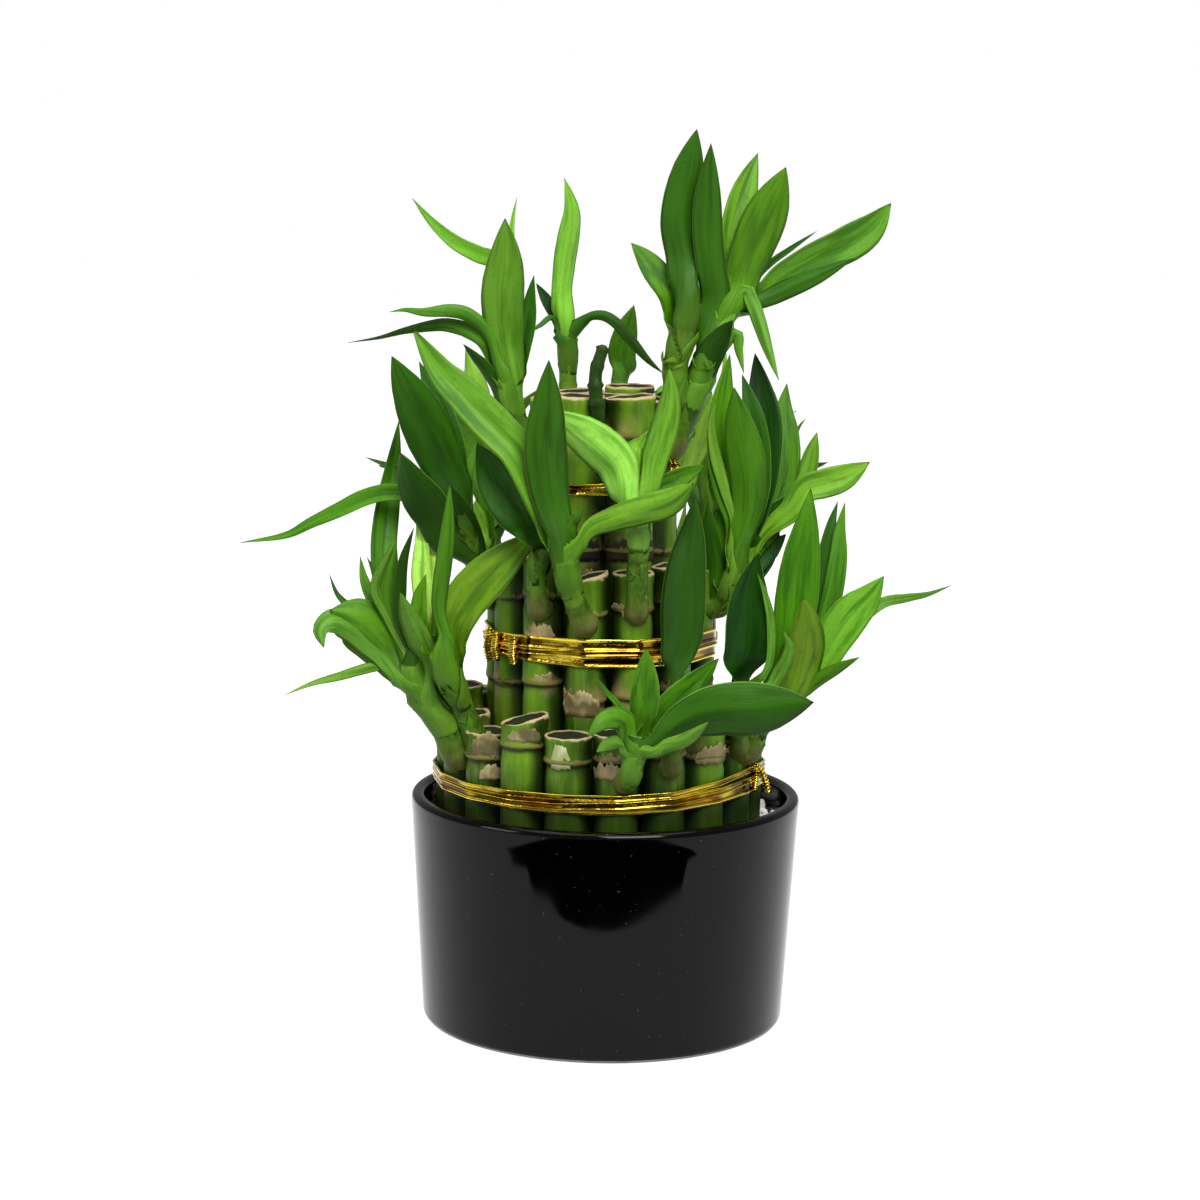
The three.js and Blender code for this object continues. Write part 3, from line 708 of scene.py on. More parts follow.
# Patches that show at the front: kind, tier, number of the cane, lowest and highest height, bearing
# of the start and span in degrees from the cane's own bearing, and how far the upper edge stands off.
PATCHES = [
    ("pale", "lower", 0, 95, 103.6, -32, 50, 0.05),
    ("tan", "middle", 0, 109, 118, -58, 104, 1.1),
    ("tan", "lower", 18, 102.6, 107.2, -10, 84, 0.5),
    ("tan", "lower", 17, 95.5, 104, 8, 80, 0.5),
    ("tan", "lower", 17, 88, 93, 30, 60, 0.3),
    ("tan", "upper", 5, 150, 156, 0, 70, 0.7),
    ("tan", "upper", 0, 149, 155, 20, 60, 0.7),
    ("dark", "upper", 0, 157.5, 167, -60, 150, 0.25),
    ("dark", "upper", 1, 157.5, 166, -90, 150, 0.25),
    ("dark", "upper", 5, 158, 166.5, -10, 120, 0.25),
    ("tan", "middle", 1, 141.5, 147, -50, 70, 0.6),
    ("tan", "middle", 12, 132, 138.5, -20, 90, 0.7),
    ("tan", "middle", 2, 142, 148, -80, 110, 0.6),
    ("tan", "lower", 1, 92, 97.5, -70, 90, 0.5),
    ("tan", "lower", 3, 95, 101, -60, 100, 0.8),
    ("tan", "lower", 4, 96, 102, -70, 110, 0.8),
]
PATCH_COLOURS = {
    "pale": ((196, 190, 150), (250, 248, 226), (150, 160, 90)),
    "tan": ((112, 98, 54), (200, 182, 134), (78, 74, 26)),
    "dark": ((26, 20, 8), (74, 58, 30), (14, 16, 4)),
}


IN_POT = POT["height"] + 1  # joints below this height are hidden by the pot
BARE_JOINTS = 0.25  # share of the other joints that have lost their sheath


def sheath_piece(name, bands, material):
    """Several bands of dry sheath as one piece."""
    points, faces = [], []
    for band_points, band_faces in bands:
        faces += [tuple(v + len(points) for v in face) for face in band_faces]
        points += band_points
    mesh = mesh_of(name, points, faces)
    mesh.shade_smooth()
    finish_piece(new_object(name, mesh, [material]), "cane")


def make_patches():
    """Scars and flaps of dry sheath that show at the front, those of one kind in one piece."""
    for kind, colours in PATCH_COLOURS.items():
        draw = random.Random(f"patches {kind}")
        bands = []
        for look, tier, number, low, high, start, span, lift in PATCHES:
            if look == kind:
                bands.append(ring_band(CANES[tier][number], low, high, start, span, draw, lift))
        sheath_piece(f"patches_{kind}", bands, dry_sheath(f"sheath_{kind}", *colours))


def make_dry_sheaths():
    """Dry strips under the joints and cut tops of most canes, those of one tier in one piece."""
    material = dry_sheath()
    for tier, rows in CANES.items():
        draw = random.Random(f"sheaths {tier}")
        bands = []
        for cane in rows:
            if cane["name"] == HIDDEN_CANE:
                continue
            for depth in cane["joints"]:
                at = cane["top"] - depth
                if at < IN_POT or draw.random() < BARE_JOINTS:
                    continue
                start, span = draw.uniform(-110, 20), draw.uniform(60, 170)
                bands.append(ring_band(cane, at - 0.4, at + draw.uniform(1.2, 3.6), start, span, draw))
        sheath_piece(f"dry_sheaths_{tier}", bands, material)


# ---- Gravel ----

PEBBLES = 90000.0  # most to a square metre
PEBBLE_SPACING = 0.62  # least distance between pebbles, as a share of their size
PEBBLE_SEED = 11  # of the first layer
PEBBLE_LAYERS = ((2.4, 4.6), (4.6, 4.2), (7.0, 4.4))  # how far under the bed's top, and pebble size


def random_vector(tree, low, high, seed):
    inputs = {0: low, 1: high, "Seed": seed}
    return add_node(tree, "FunctionNodeRandomValue", inputs, data_type="FLOAT_VECTOR").outputs[0]


def gravel_tree(material):
    """Pebbles scattered over a mesh, in random sizes, turns and slight squashing."""
    laid = Tree("gravel", {"Pebbles": "Float", "Size": "Float", "Seed": "Int"})
    tree, given = laid.tree, laid.given
    scatter = add_node(tree, "GeometryNodeDistributePointsOnFaces", {
        "Mesh": given["Mesh"], "Distance Min": times(tree, given["Size"], PEBBLE_SPACING),
        "Density Max": given["Pebbles"], "Seed": given["Seed"],
    }, distribute_method="POISSON")
    ball = add_node(tree, "GeometryNodeMeshUVSphere", {
        "Segments": 9, "Rings": 6, "Radius": times(tree, given["Size"], 0.5),
    })
    place = add_node(tree, "GeometryNodeInputPosition").outputs[0]
    lumps = random_push(tree, place, 1.0, times(tree, given["Size"], 0.7))
    lumpy = {"Geometry": ball.outputs[0], "Offset": lumps}
    pebble = add_node(tree, "GeometryNodeSetPosition", lumpy).outputs[0]
    sizes = random_vector(tree, (0.65, 0.6, 0.45), (1.15, 1.05, 0.85), 3)
    turns = random_vector(tree, (-0.7, -0.7, 0.0), (0.7, 0.7, 6.28), 5)
    turns = add_node(tree, "FunctionNodeEulerToRotation", {0: turns}).outputs[0]
    placed = add_node(tree, "GeometryNodeInstanceOnPoints", {
        "Points": scatter.outputs[0], "Instance": pebble, "Rotation": turns, "Scale": sizes,
    }).outputs[0]
    inputs = {2: 0.0, 3: 1.0, "Seed": 7}
    tone = add_node(tree, "FunctionNodeRandomValue", inputs, data_type="FLOAT").outputs[1]
    placed = keep_number(tree, placed, "tone", tone, "INSTANCE")
    real = add_node(tree, "GeometryNodeRealizeInstances", {0: placed}).outputs[0]
    laid.end(add_node(tree, "GeometryNodeSetShadeSmooth", {0: real}).outputs[0], material)
    return laid


def ring_sheet(inner, outer, height, sides=72):
    points, faces = [], []
    for i in range(sides):
        points += [(*on_circle(radius, i, sides), height) for radius in (inner, outer)]
        a, b = 2 * i, 2 * ((i + 1) % sides)
        faces.append((a, a + 1, b + 1, b))
    return mesh_of("ring_sheet", points, faces)


def solid_ring(name, profile, sides=96):
    """A closed ring from the four corners of its section, as [radius, height]."""
    points, faces = [], []
    for i in range(sides):
        points += [(*on_circle(radius, i, sides), height) for radius, height in profile]
        a, b = 4 * i, 4 * ((i + 1) % sides)
        for k in range(4):
            m = (k + 1) % 4
            faces.append((a + k, b + k, b + m, a + m))
    return mesh_of(name, points, faces)


def make_gravel():
    """Layers of white pebbles at the top of the bed, over a plain ring that fills it below them."""
    material = white_pebble()
    tree = gravel_tree(material)
    top, inner = GRAVEL["top"], GRAVEL["inner"]
    wall = POT["inside_top"] - 2.0
    layers = []
    for i, (drop, size) in enumerate(PEBBLE_LAYERS):
        sheet = ring_sheet(inner, wall - size / 4, top - drop)
        values = {"Pebbles": PEBBLES, "Size": size * MM, "Seed": PEBBLE_SEED + i}
        layers.append(tree.run(f"pebbles_{i}", sheet, values))
    low, fill = POT["floor"] + POT["heel"] + 0.3, top - 6.0
    profile = [(inner + 4, low), (POT["inside_floor"] - 0.6, low), (wall - 0.2, fill), (inner + 4, fill)]
    ring = solid_ring("bed_ring", profile)
    ring.materials.append(material)
    joined = join_meshes("gravel_pebbles", [ring] + layers)
    finish_piece(new_object(joined.name, joined, []), "gravel", "gravel_bed")


def join_meshes(name, meshes):
    """One mesh of several that share their materials."""
    parts = [linked_object(mesh.name, mesh) for mesh in meshes]
    chosen = dict(active_object=parts[0], selected_editable_objects=parts, selected_objects=parts)
    with bpy.context.temp_override(**chosen):
        bpy.ops.object.join()
    mesh = parts[0].data
    bpy.data.objects.remove(parts[0])
    mesh.name = name
    return mesh


# ---- Ties ----

# Each tie is turns of foil ribbon round its tier: the height of a turn's middle, how far it stands
# off the canes, half its width, how much its height sways, and how far it is pulled up towards the
# knot. knots are pairs of rolled strands in the upright plane at a bearing, through points of
# [out, up]; the first is where the tie is closed.
TIES = {
    "lower": dict(
        turns=[(83.3, 0.5, 2.7, 0.15, 1.6), (85.9, 1.1, 1.0, 0.3, 4.2), (83.4, 1.0, 1.2, 0.5, 3.0)],
        knots=[
            dict(bearing=66, radius=0.8, points=[(55.6, 83), (56.2, 87), (55.8, 91), (58.6, 88), (60.6, 83)]),
        ],
    ),
    "middle": dict(
        turns=[(132.6, 0.5, 2.0, 0.2, -1), (127.4, 0.5, 2.1, 0.2, 1), (129.9, 1.1, 0.9, 0.3, -0.6)],
        knots=[
            dict(bearing=-68, radius=1.1, points=[(39.5, 124), (40.2, 128.5), (39.4, 133.4)]),
            dict(bearing=-60, radius=1.0, points=[(39.5, 133), (40.2, 128.5), (39.4, 124.6)]),
            dict(bearing=-46, radius=0.9, points=[(39.5, 125), (40.0, 128.5), (39.4, 132.6)]),
        ],
    ),
    "upper": dict(
        turns=[(181.0, 0.5, 1.8, 0.2, 1.5), (182.2, 1.1, 0.8, 0.3, 2.5)],
        knots=[dict(
            bearing=60, radius=0.9,
            points=[(24.5, 181), (25.2, 185), (25.6, 189), (27.6, 187.5), (26.2, 184)],
        )],
    ),
}


def ribbon_tree(material):
    """
    Foil ribbon along the edges of a mesh, creased at random. Its section is a thin web with a bead
    along each margin; with a half width like its radius it is a rolled strand.
    """
    labels = ("Radius", "Half Width", "Crumple", "Seed")
    drawn = Tree("foil_ribbon", {label: "Float" for label in labels})
    tree, given = drawn.tree, drawn.given
    line = add_node(tree, "GeometryNodeMeshToCurve", {0: given["Mesh"]}).outputs[0]
    line = add_node(tree, "GeometryNodeSetCurveNormal", {0: line}, mode="Z_UP").outputs[0]
    ring = add_node(tree, "GeometryNodeCurvePrimitiveCircle", {"Resolution": 24, "Radius": 1.0}).outputs[0]
    place = add_node(tree, "GeometryNodeInputPosition").outputs[0]
    axes = add_node(tree, "ShaderNodeSeparateXYZ", {0: place}).outputs
    bead = between(tree, maths(tree, "ABSOLUTE", axes[1]), 0.5, 0.82)
    thick = times(tree, given["Radius"], plus(tree, 0.22, times(tree, bead, 1.5)))
    wide = times(tree, axes[1], given["Half Width"])
    section = vector(tree, times(tree, axes[0], thick), wide, 0.0)
    ring = keep_number(tree, ring, "web", minus(tree, 1.0, bead))
    ring = add_node(tree, "GeometryNodeSetPosition", {"Geometry": ring, "Position": section}).outputs[0]
    swept = add_node(tree, "GeometryNodeCurveToMesh", {
        "Curve": line, "Profile Curve": ring, "Fill Caps": True,
    })
    seeded = vector_maths(tree, "ADD", {0: place, 1: vector(tree, given["Seed"], 0.0, 0.0)})
    crumpled = {"Geometry": swept.outputs[0], "Offset": random_push(tree, seeded, 2.0, given["Crumple"])}
    moved = add_node(tree, "GeometryNodeSetPosition", crumpled).outputs[0]
    drawn.end(add_node(tree, "GeometryNodeSetShadeSmooth", {0: moved}).outputs[0], material)
    return drawn


def line_mesh(points, closed):
    edges = [(i, i + 1) for i in range(len(points) - 1)]
    if closed:
        edges.append((len(points) - 1, 0))
    return mesh_of("wire_line", points, [], edges)


def turn_points(tier, height, stand, sway, pull, knot, draw):
    """A turn of ribbon round a tier: round the outside of each cane, and straight between them."""
    facts = TIERS[tier]
    count = len(facts["tops"])
    bend = math.pi / count
    phase = draw.uniform(0, 6.28)
    points = []
    for i in range(count):
        bearing = math.radians(facts["first"] + 360 * i / count)
        for step in range(7):
            side = bearing + bend * (step / 3 - 1)
            x = ACROSS + facts["ring"] * math.sin(bearing) + (facts["radius"] + stand) * math.sin(side)
            y = -facts["ring"] * math.cos(bearing) - (facts["radius"] + stand) * math.cos(side)
            around = math.atan2(x - ACROSS, -y)
            drift = sway * (math.sin(around * 2 + phase) + 0.35 * math.sin(around * 5 + 2 * phase))
            away = math.remainder(around - math.radians(knot), 2 * math.pi)
            points.append((x, y, height + drift + pull * math.exp(-((away / 0.55) ** 2))))
    return points


WIRE_STEPS = 14  # points of a wire to each span of its path
WIRE_TURN = 1.1  # radians that it winds on from one point to the next


def twisted_pair(bearing, radius, points):
    """Two wires wound round each other along the points."""
    angle = math.radians(bearing)
    path = [Vector((ACROSS + out * math.sin(angle), -out * math.cos(angle), up)) for out, up in points]
    middle = smooth_line(path, WIRE_STEPS)
    wires = []
    for start in (0, math.pi):
        wire = []
        for i, centre in enumerate(middle):
            ahead = middle[min(i + 1, len(middle) - 1)] - middle[max(i - 1, 0)]
            first = ahead.cross(Vector((math.cos(angle), math.sin(angle), 0.2))).normalized()
            second = ahead.cross(first).normalized()
            turn = start + WIRE_TURN * i
            wire.append(centre + (first * math.cos(turn) + second * math.sin(turn)) * radius)
        wires.append(wire)
    return wires


def foil(tree, points, closed, radius, half, crumple, draw):
    """A length of ribbon along the points."""
    values = {
        "Radius": radius * MM, "Half Width": half * MM, "Crumple": crumple * MM, "Seed": draw.uniform(0, 9),
    }
    return tree.run("strand", line_mesh(points, closed), values)


def make_ties():
    tree = ribbon_tree(gold_foil())
    for tier, facts in TIES.items():
        draw = random.Random(f"tie {tier}")
        strands = []
        closed = facts["knots"][0]["bearing"]
        for height, stand, half, sway, pull in facts["turns"]:
            points = turn_points(tier, height, stand, sway, pull, closed, draw)
            strands.append(foil(tree, points, True, 0.5, half, 0.45, draw))
        for knot in facts["knots"]:
            radius = knot["radius"]
            for wire in twisted_pair(knot["bearing"], radius * 0.75, knot["points"]):
                strands.append(foil(tree, wire, False, radius * 0.8, radius, 0.9, draw))
        mesh = join_meshes(f"foil_{tier}", strands)
        finish_piece(new_object(mesh.name, mesh, []), "foil", f"tie_{tier}")


# ---- Shoots ----

# Places on a shoot are given as the front view shows them: across and down in its 1200 x 1200
# points, and then how much nearer than the pot's axis they are, in millimetres. A leaf's width is in
# points too.

# Leaf colours as the leaves look: their own tone, with painted light and shade in it. "lit", "bright" and
# "vivid" leaves are painted as in light, "dark" and "deep" ones as in shade, and "glow" as lit through from
# behind.
LEAF_COLOURS_LIT_AND_SHADED = {
    "lit": rgb(130, 194, 70),
    "bright": rgb(128, 190, 58),
    "light": rgb(96, 152, 38),
    "mid": rgb(67, 119, 16),
    "dark": rgb(38, 86, 4),
    "deep": rgb(24, 64, 4),
    "olive": rgb(88, 128, 24),
    "pale": rgb(92, 142, 44),
    "glow": rgb(186, 255, 84),
    "vivid": rgb(176, 228, 90),
}

LEAF_ROWS = 34
LEAF_HALF_COLUMNS = 5
SHEATH_ROWS = 7

# How far round the stem a leaf's sheath wraps, in radians: at its foot, how much less at its mouth,
# and then where the free blade starts.
SHEATH_CURL = 5.6
SHEATH_OPENING = 1.9
BLADE_CURL = 3.7

# Width of a leaf along its length, as a share of its widest.
LEAF_OUTLINE = [
    (0, 0.44), (0.08, 0.52), (0.18, 0.74), (0.3, 0.93), (0.42, 1), (0.55, 0.96),
    (0.68, 0.82), (0.8, 0.58), (0.89, 0.35), (0.95, 0.17), (0.985, 0.06), (1, 0.005),
]
PEAK = 0.42  # where that outline is widest

VIEW = Matrix.Rotation(math.pi / 2 - PITCH, 3, "X") @ Matrix.Rotation(ROLL, 3, "Z")
FOCUS = LENS / SENSOR * PICTURE
POINT = 0.332  # millimetres to a point of the view, at the plant


def seen(across, down, nearer):
    """The place that shows at that point of the front view, that much nearer than the pot's axis."""
    ray = VIEW @ Vector((across - PICTURE / 2, PICTURE / 2 - down, -FOCUS))
    return EYE + ray * ((-nearer - EYE.y) / ray.y)


def smooth_line(points, per_span):
    """Points along a smooth curve through the given ones."""
    row = [points[0] * 2 - points[1], *points, points[-1] * 2 - points[-2]]
    line = []
    for i in range(1, len(row) - 2):
        before, here, there, after = row[i - 1:i + 3]
        for step in range(per_span):
            t = step / per_span
            spread = (here * 2) + (there - before) * t
            spread += (before * 2 - here * 5 + there * 4 - after) * t ** 2
            spread += (here * 3 - before - there * 3 + after) * t ** 3
            line.append(spread / 2)
    line.append(points[-1].copy())
    return line


class Line:
    """A curve that gives a place and a heading by its share of length along it."""

    def __init__(self, points, per_span=12):
        self.dots = smooth_line(points, per_span)
        steps = [(b - a).length for a, b in zip(self.dots, self.dots[1:])]
        self.far = np.concatenate([[0], np.cumsum(steps)])
        self.length = float(self.far[-1])
        self.table = np.array([tuple(p) for p in self.dots])

    def at(self, share):
        far = share * self.length
        return Vector([float(np.interp(far, self.far, self.table[:, k])) for k in range(3)])

    def heading(self, share):
        return (self.at(min(1, share + 0.02)) - self.at(max(0, share - 0.02))).normalized()


def ease(low, high, value):
    t = min(1.0, max(0.0, (value - low) / (high - low)))
    return t * t * (3 - 2 * t)


class Skin:
    """Collects the points, faces and looks of one shoot."""

    def __init__(self):
        self.points, self.faces, self.slots = [], [], []
        self.tones, self.grains, self.seeds, self.stems = [], [], [], []

    def add(self, points, faces, slot, tones, grains, seed, stems):
        start = len(self.points)
        self.points += points
        self.faces += [tuple(start + v for v in face) for face in faces]
        self.slots += [slot] * len(faces)
        self.tones += tones
        self.grains += grains
        self.seeds += [seed] * len(points)
        self.stems += stems

    def mesh(self, name):
        mesh = mesh_of(name, self.points, self.faces)
        mesh.polygons.foreach_set("material_index", self.slots)
        tone = mesh.attributes.new("leaf_tone", "FLOAT_COLOR", "POINT")
        tone.data.foreach_set("color", np.array(self.tones, dtype=np.float32).ravel())
        for label, values in (("leaf_seed", self.seeds), ("along_stem", self.stems)):
            mesh.attributes.new(label, "FLOAT", "POINT").data.foreach_set("value", values)
        grain = mesh.uv_layers.new(name="leaf_grain")
        corners = np.zeros(len(mesh.loops), dtype=np.int32)
        mesh.loops.foreach_get("vertex_index", corners)
        grain.data.foreach_set("uv", np.array(self.grains, dtype=np.float32)[corners].ravel())
        mesh.shade_smooth()
        return mesh


def add_stem(skin, line, radii, collar, draw, lumps=0.06):
    """A round stem with a knobbly foot, slight joints, and a closed end."""
    sides, rows = 14, max(24, int(line.length * 0.9))
    points, stems = [], []
    side = line.heading(0).orthogonal().normalized()
    phase = draw.uniform(0, 6)
    for row in range(rows + 1):
        share = row / rows
        along = line.heading(share)
        side = (side - along * side.dot(along)).normalized()
        other = along.cross(side)
        far = share * line.length
        radius = radii[0] + (radii[1] - radii[0]) * share
        knob = 0.12 * math.exp(-(((far - collar) / 4.5) ** 2))
        ridge = lumps * max(0, math.sin(far * 1.05 + phase)) ** 6
        tip = 1 - ease(0.96, 1.0, share) * 0.6
        for i in range(sides):
            angle = 2 * math.pi * i / sides
            lump = 1 + knob * (1 + 0.3 * math.sin(2 * angle + phase)) + ridge
            out = side * math.cos(angle) + other * math.sin(angle)
            points.append(line.at(share) + out * radius * lump * tip)
            stems.append(max(0.0, far - collar + 2) * MM)
    faces = []
    for row in range(rows):
        for i in range(sides):
            a, b = row * sides + i, row * sides + (i + 1) % sides
            faces.append((a, b, b + sides, a + sides))
    faces.append(tuple(reversed(range(sides))))
    faces.append(tuple(rows * sides + i for i in range(sides)))
    tone = LEAF_COLOURS_LIT_AND_SHADED["mid"][:3] + (1.0,)
    skin.add(points, faces, 1, [tone] * len(points), [(0.5, 0.0)] * len(points), phase, stems)


def add_leaf(skin, rows, tone, seed):
    """
    A leaf from rows of (place, side, normal, width, curl, crease, wave, along). A row is bent about
    its midrib by curl, in radians over the whole width, towards normal, which is the leaf's upper
    side. The leaf is a thin closed skin whose margins join the upper and under sides.
    """
    half = LEAF_HALF_COLUMNS
    columns = 2 * half + 1
    upper, under = [], []
    for place, side, normal, width, curl, crease, wave, along in rows:
        for k in range(-half, half + 1):
            s = k / half
            bend = s * curl / 2
            radius = width / max(curl, 0.05)
            across = radius * math.sin(bend)
            rise = radius * (1 - math.cos(bend)) + crease * width * (abs(s) - 0.5 * s * s)
            rise += wave * s * s * (1 if k > 0 else 0.6)
            at = place + side * across + normal * rise
            thick = 0.32 * (1 - s * s) * min(1, width / 3) + 0.04
            upper.append((at + normal * thick / 2, (0.5 + s / 2, along)))
            under.append((at - normal * thick / 2, (0.5 + s / 2, along)))
    count = len(rows)
    points = [p for p, _ in upper]
    grains = [g for _, g in upper]
    tones = [tone[:3] + (1.0,)] * len(points)
    index = {}
    for row in range(count):
        for k in range(columns):
            shared = k in (0, columns - 1) or row in (0, count - 1)
            i = row * columns + k
            if shared:
                index[i] = i
                tones[i] = tone[:3] + (0.6,)
            else:
                index[i] = len(points)
                points.append(under[i][0])
                grains.append(under[i][1])
                tones.append(tone[:3] + (0.0,))
    faces = []
    for row in range(count - 1):
        for k in range(columns - 1):
            a = row * columns + k
            b, c, d = a + 1, a + columns + 1, a + columns
            faces.append((a, b, c, d))
            lower = (index[d], index[c], index[b], index[a])
            if set(lower) != {a, b, c, d}:
                faces.append(lower)
    skin.add(points, faces, 0, tones, grains, seed, [1.0] * len(points))


def leaf_share(along, peak, foot):
    """A leaf's width along it, as a share of its widest, which is at peak. foot is the share at its base."""
    turn = PEAK * along / peak if along < peak else PEAK + (1 - PEAK) * (along - peak) / (1 - peak)
    share = float(np.interp(turn, *zip(*LEAF_OUTLINE)))
    if along < peak:
        base = LEAF_OUTLINE[0][1]
        share = foot + (share - base) * (1 - foot) / (1 - base)
    return share


def leaf_rows(stem, girth, on, points, leaf, face, wrap, draw):
    """The rows of a leaf: a sheath that hugs the stem below `on`, then the free blade through the points."""
    base = stem.at(on)
    heading = stem.heading(on)
    away = points[0] - base
    away = away - heading * away.dot(heading)
    if leaf["front"]:
        looks = face(base) * leaf["front"]
        away += (looks - heading * looks.dot(heading)) * max(4, away.length) * 0.8
    away = away.normalized() if away.length > 0.3 else heading.orthogonal().normalized()
    sheath = min(on, wrap / stem.length)
    rows = []
    for i in range(SHEATH_ROWS):
        share = on - sheath * (1 - i / SHEATH_ROWS)
        along = stem.heading(share)
        out = (away - along * away.dot(along)).normalized()
        open_up = ease(0.3, 1, i / SHEATH_ROWS)
        curl = SHEATH_CURL - SHEATH_OPENING * open_up
        side = along.cross(-out)
        grain = -0.25 * (1 - i / SHEATH_ROWS)
        hug = girth * (0.84 + 0.16 * ease(0, 0.6, i / SHEATH_ROWS))
        rows.append((stem.at(share) + out * hug, side, -out, hug * curl, curl, 0, 0, grain))
    line = Line([base, *points])
    wide, twist = leaf["wide"], leaf["twist"]
    turn = leaf["turn"] + draw.uniform(-20, 20)
    wide = wide / math.cos(math.radians(min(50, abs(turn))))
    lay = draw.uniform(0.45, 0.95)
    ripple, phase = draw.uniform(0.015, 0.05) * wide, draw.uniform(0, 6.28)
    sign = None
    sway = draw.uniform(-5, 5)
    loosened = min(0.22, 10 / line.length)
    for i in range(LEAF_ROWS + 1):
        t = i / LEAF_ROWS
        along = line.heading(t)
        place = line.at(t) + away * girth * (1 - ease(0, loosened * 2, t))
        looks = face(place)
        side = along.cross(looks).normalized()
        angle = turn + twist * ease(0.2, 0.9, t) + sway * math.sin(3 * t + phase)
        side.rotate(Matrix.Rotation(math.radians(angle), 3, along))
        normal = side.cross(along)
        if sign is None:
            sign = -1 if normal.dot(-away) < -0.15 else 1
        normal = normal * sign
        rest = along * along.dot(away) - away
        rest = rest.normalized() if rest.length > 0.05 else normal
        normal = rest.lerp(normal, ease(0.0, loosened * 1.4, t))
        normal = (normal - along * normal.dot(along)).normalized()
        side = along.cross(normal)
        blade_width = wide * leaf_share(t, leaf["peak"], leaf["foot"])
        loose = ease(0.0, loosened, t)
        curl = BLADE_CURL * (1 - loose) + lay * loose
        width = girth * BLADE_CURL * (1 - loose) + blade_width * loose
        crease = 0.16 * ease(0.05, 0.3, t) * (1 - 0.5 * t)
        wave = ripple * math.sin(9 * t + phase) * ease(0.1, 0.4, t)
        rows.append((place, side, normal, max(width, 0.05), curl, crease, wave, t))
    return rows


def towards_eye(place):
    return (EYE - place).normalized()


def blade(on, line, nearer, wide, look, turn=0, twist=0, peak=0.5, foot=0.48):
    """
    A leaf of the front view: where on its stem it grows, the points along its middle to its tip, how
    near its tip is, its width, and its colour. turn rolls it about its midrib and twist adds to that
    towards the tip, both in degrees. peak is where along it it is widest, and foot is its width at
    the base as a share of its widest.
    """
    return dict(
        on=on, line=line, nearer=nearer, wide=wide * POINT, look=look,
        turn=turn, twist=twist, peak=peak, foot=foot, front=0,
    )


def plain_leaf(wide):
    return dict(wide=wide, turn=0, twist=0, peak=PEAK, foot=LEAF_OUTLINE[0][1], front=0)


def varied(look, draw):
    """A leaf colour a little off its plain one, as no two leaves are alike."""
    red, green, blue = LEAF_COLOURS_LIT_AND_SHADED[look][:3]
    warm, strength = draw.uniform(0.88, 1.14), draw.uniform(0.86, 1.14)
    return (red * warm * strength, green * strength, blue * strength, 1.0)


def bare_sheaths(skin, stem, radius, collar, draw):
    """Short leafless sheaths up the lower part of a stem, turned to its sides by turns."""
    count = max(1, int((stem.length - collar) / 9))
    for i in range(count):
        on = (collar + 5 + 8 * i) / stem.length
        if on > 0.9:
            break
        heading = stem.heading(on)
        angle = math.pi * i + draw.uniform(-0.6, 0.6)
        first = heading.orthogonal().normalized()
        out = first * math.cos(angle) + heading.cross(first) * math.sin(angle)
        base = stem.at(on)
        mid = base + out * radius * 0.98 + heading * 1.6
        tip = base + out * radius * 1.04 + heading * draw.uniform(3, 5)
        leaf = plain_leaf(radius * 1.7)
        rows = leaf_rows(stem, radius * 1.05, on, [mid, tip], leaf, lambda at: -out, 8, draw)
        add_leaf(skin, rows, varied(draw.choice(("olive", "mid", "mid")), draw), draw.uniform(0, 50))


def front_stem(path, radius, blades, taper=0.72):
    """A stem as the front view shows it, with its leaves, from a root inside its cane."""
    def grow(skin, root, cane, draw):
        stem = Line([root] + [seen(*place) for place in path])
        collar = cane["radius"]
        add_stem(skin, stem, (radius, radius * taper), collar, draw)
        bare_sheaths(skin, stem, radius * (0.3 + 0.7 * taper), collar, draw)
        for k, leaf in enumerate(sorted(blades, key=lambda leaf: leaf["on"])):
            on = min(leaf["on"], 0.99) - 0.012 * (len(blades) - k)
            base = stem.at(on)
            count = len(leaf["line"])
            leaf["front"] = 1 if leaf["nearer"] + base.y >= 0 else -1
            points = []
            for i, (across, down) in enumerate(leaf["line"], 1):
                points.append(seen(across, down, -base.y + (leaf["nearer"] + base.y) * i / count))
            girth = radius * (taper + (1 - taper) * (1 - k / len(blades)) + 0.05)
            rows = leaf_rows(stem, girth, on, points, leaf, towards_eye, draw.uniform(9, 13), draw)
            add_leaf(skin, rows, varied(leaf["look"], draw), draw.uniform(0, 50))
    return grow


# The leaves of a stem that faces away from the front: where on it they grow, the spread to the side
# of its heading and the lift above level, both in degrees, then length, width and colour.
FAN = [
    (0.62, -62, 34, 50, 12, "dark"),
    (0.7, 48, 26, 46, 13, "mid"),
    (0.8, -18, 40, 55, 14, "mid"),
    (0.88, 88, 58, 48, 12, "light"),
    (0.94, -100, 62, 46, 11, "mid"),
    (1, 14, 76, 52, 12, "bright"),
]
FAN_RADIUS = 3.3  # of its stem, at the foot


def outward(bearing):
    return Vector((math.sin(bearing), -math.cos(bearing), 0))


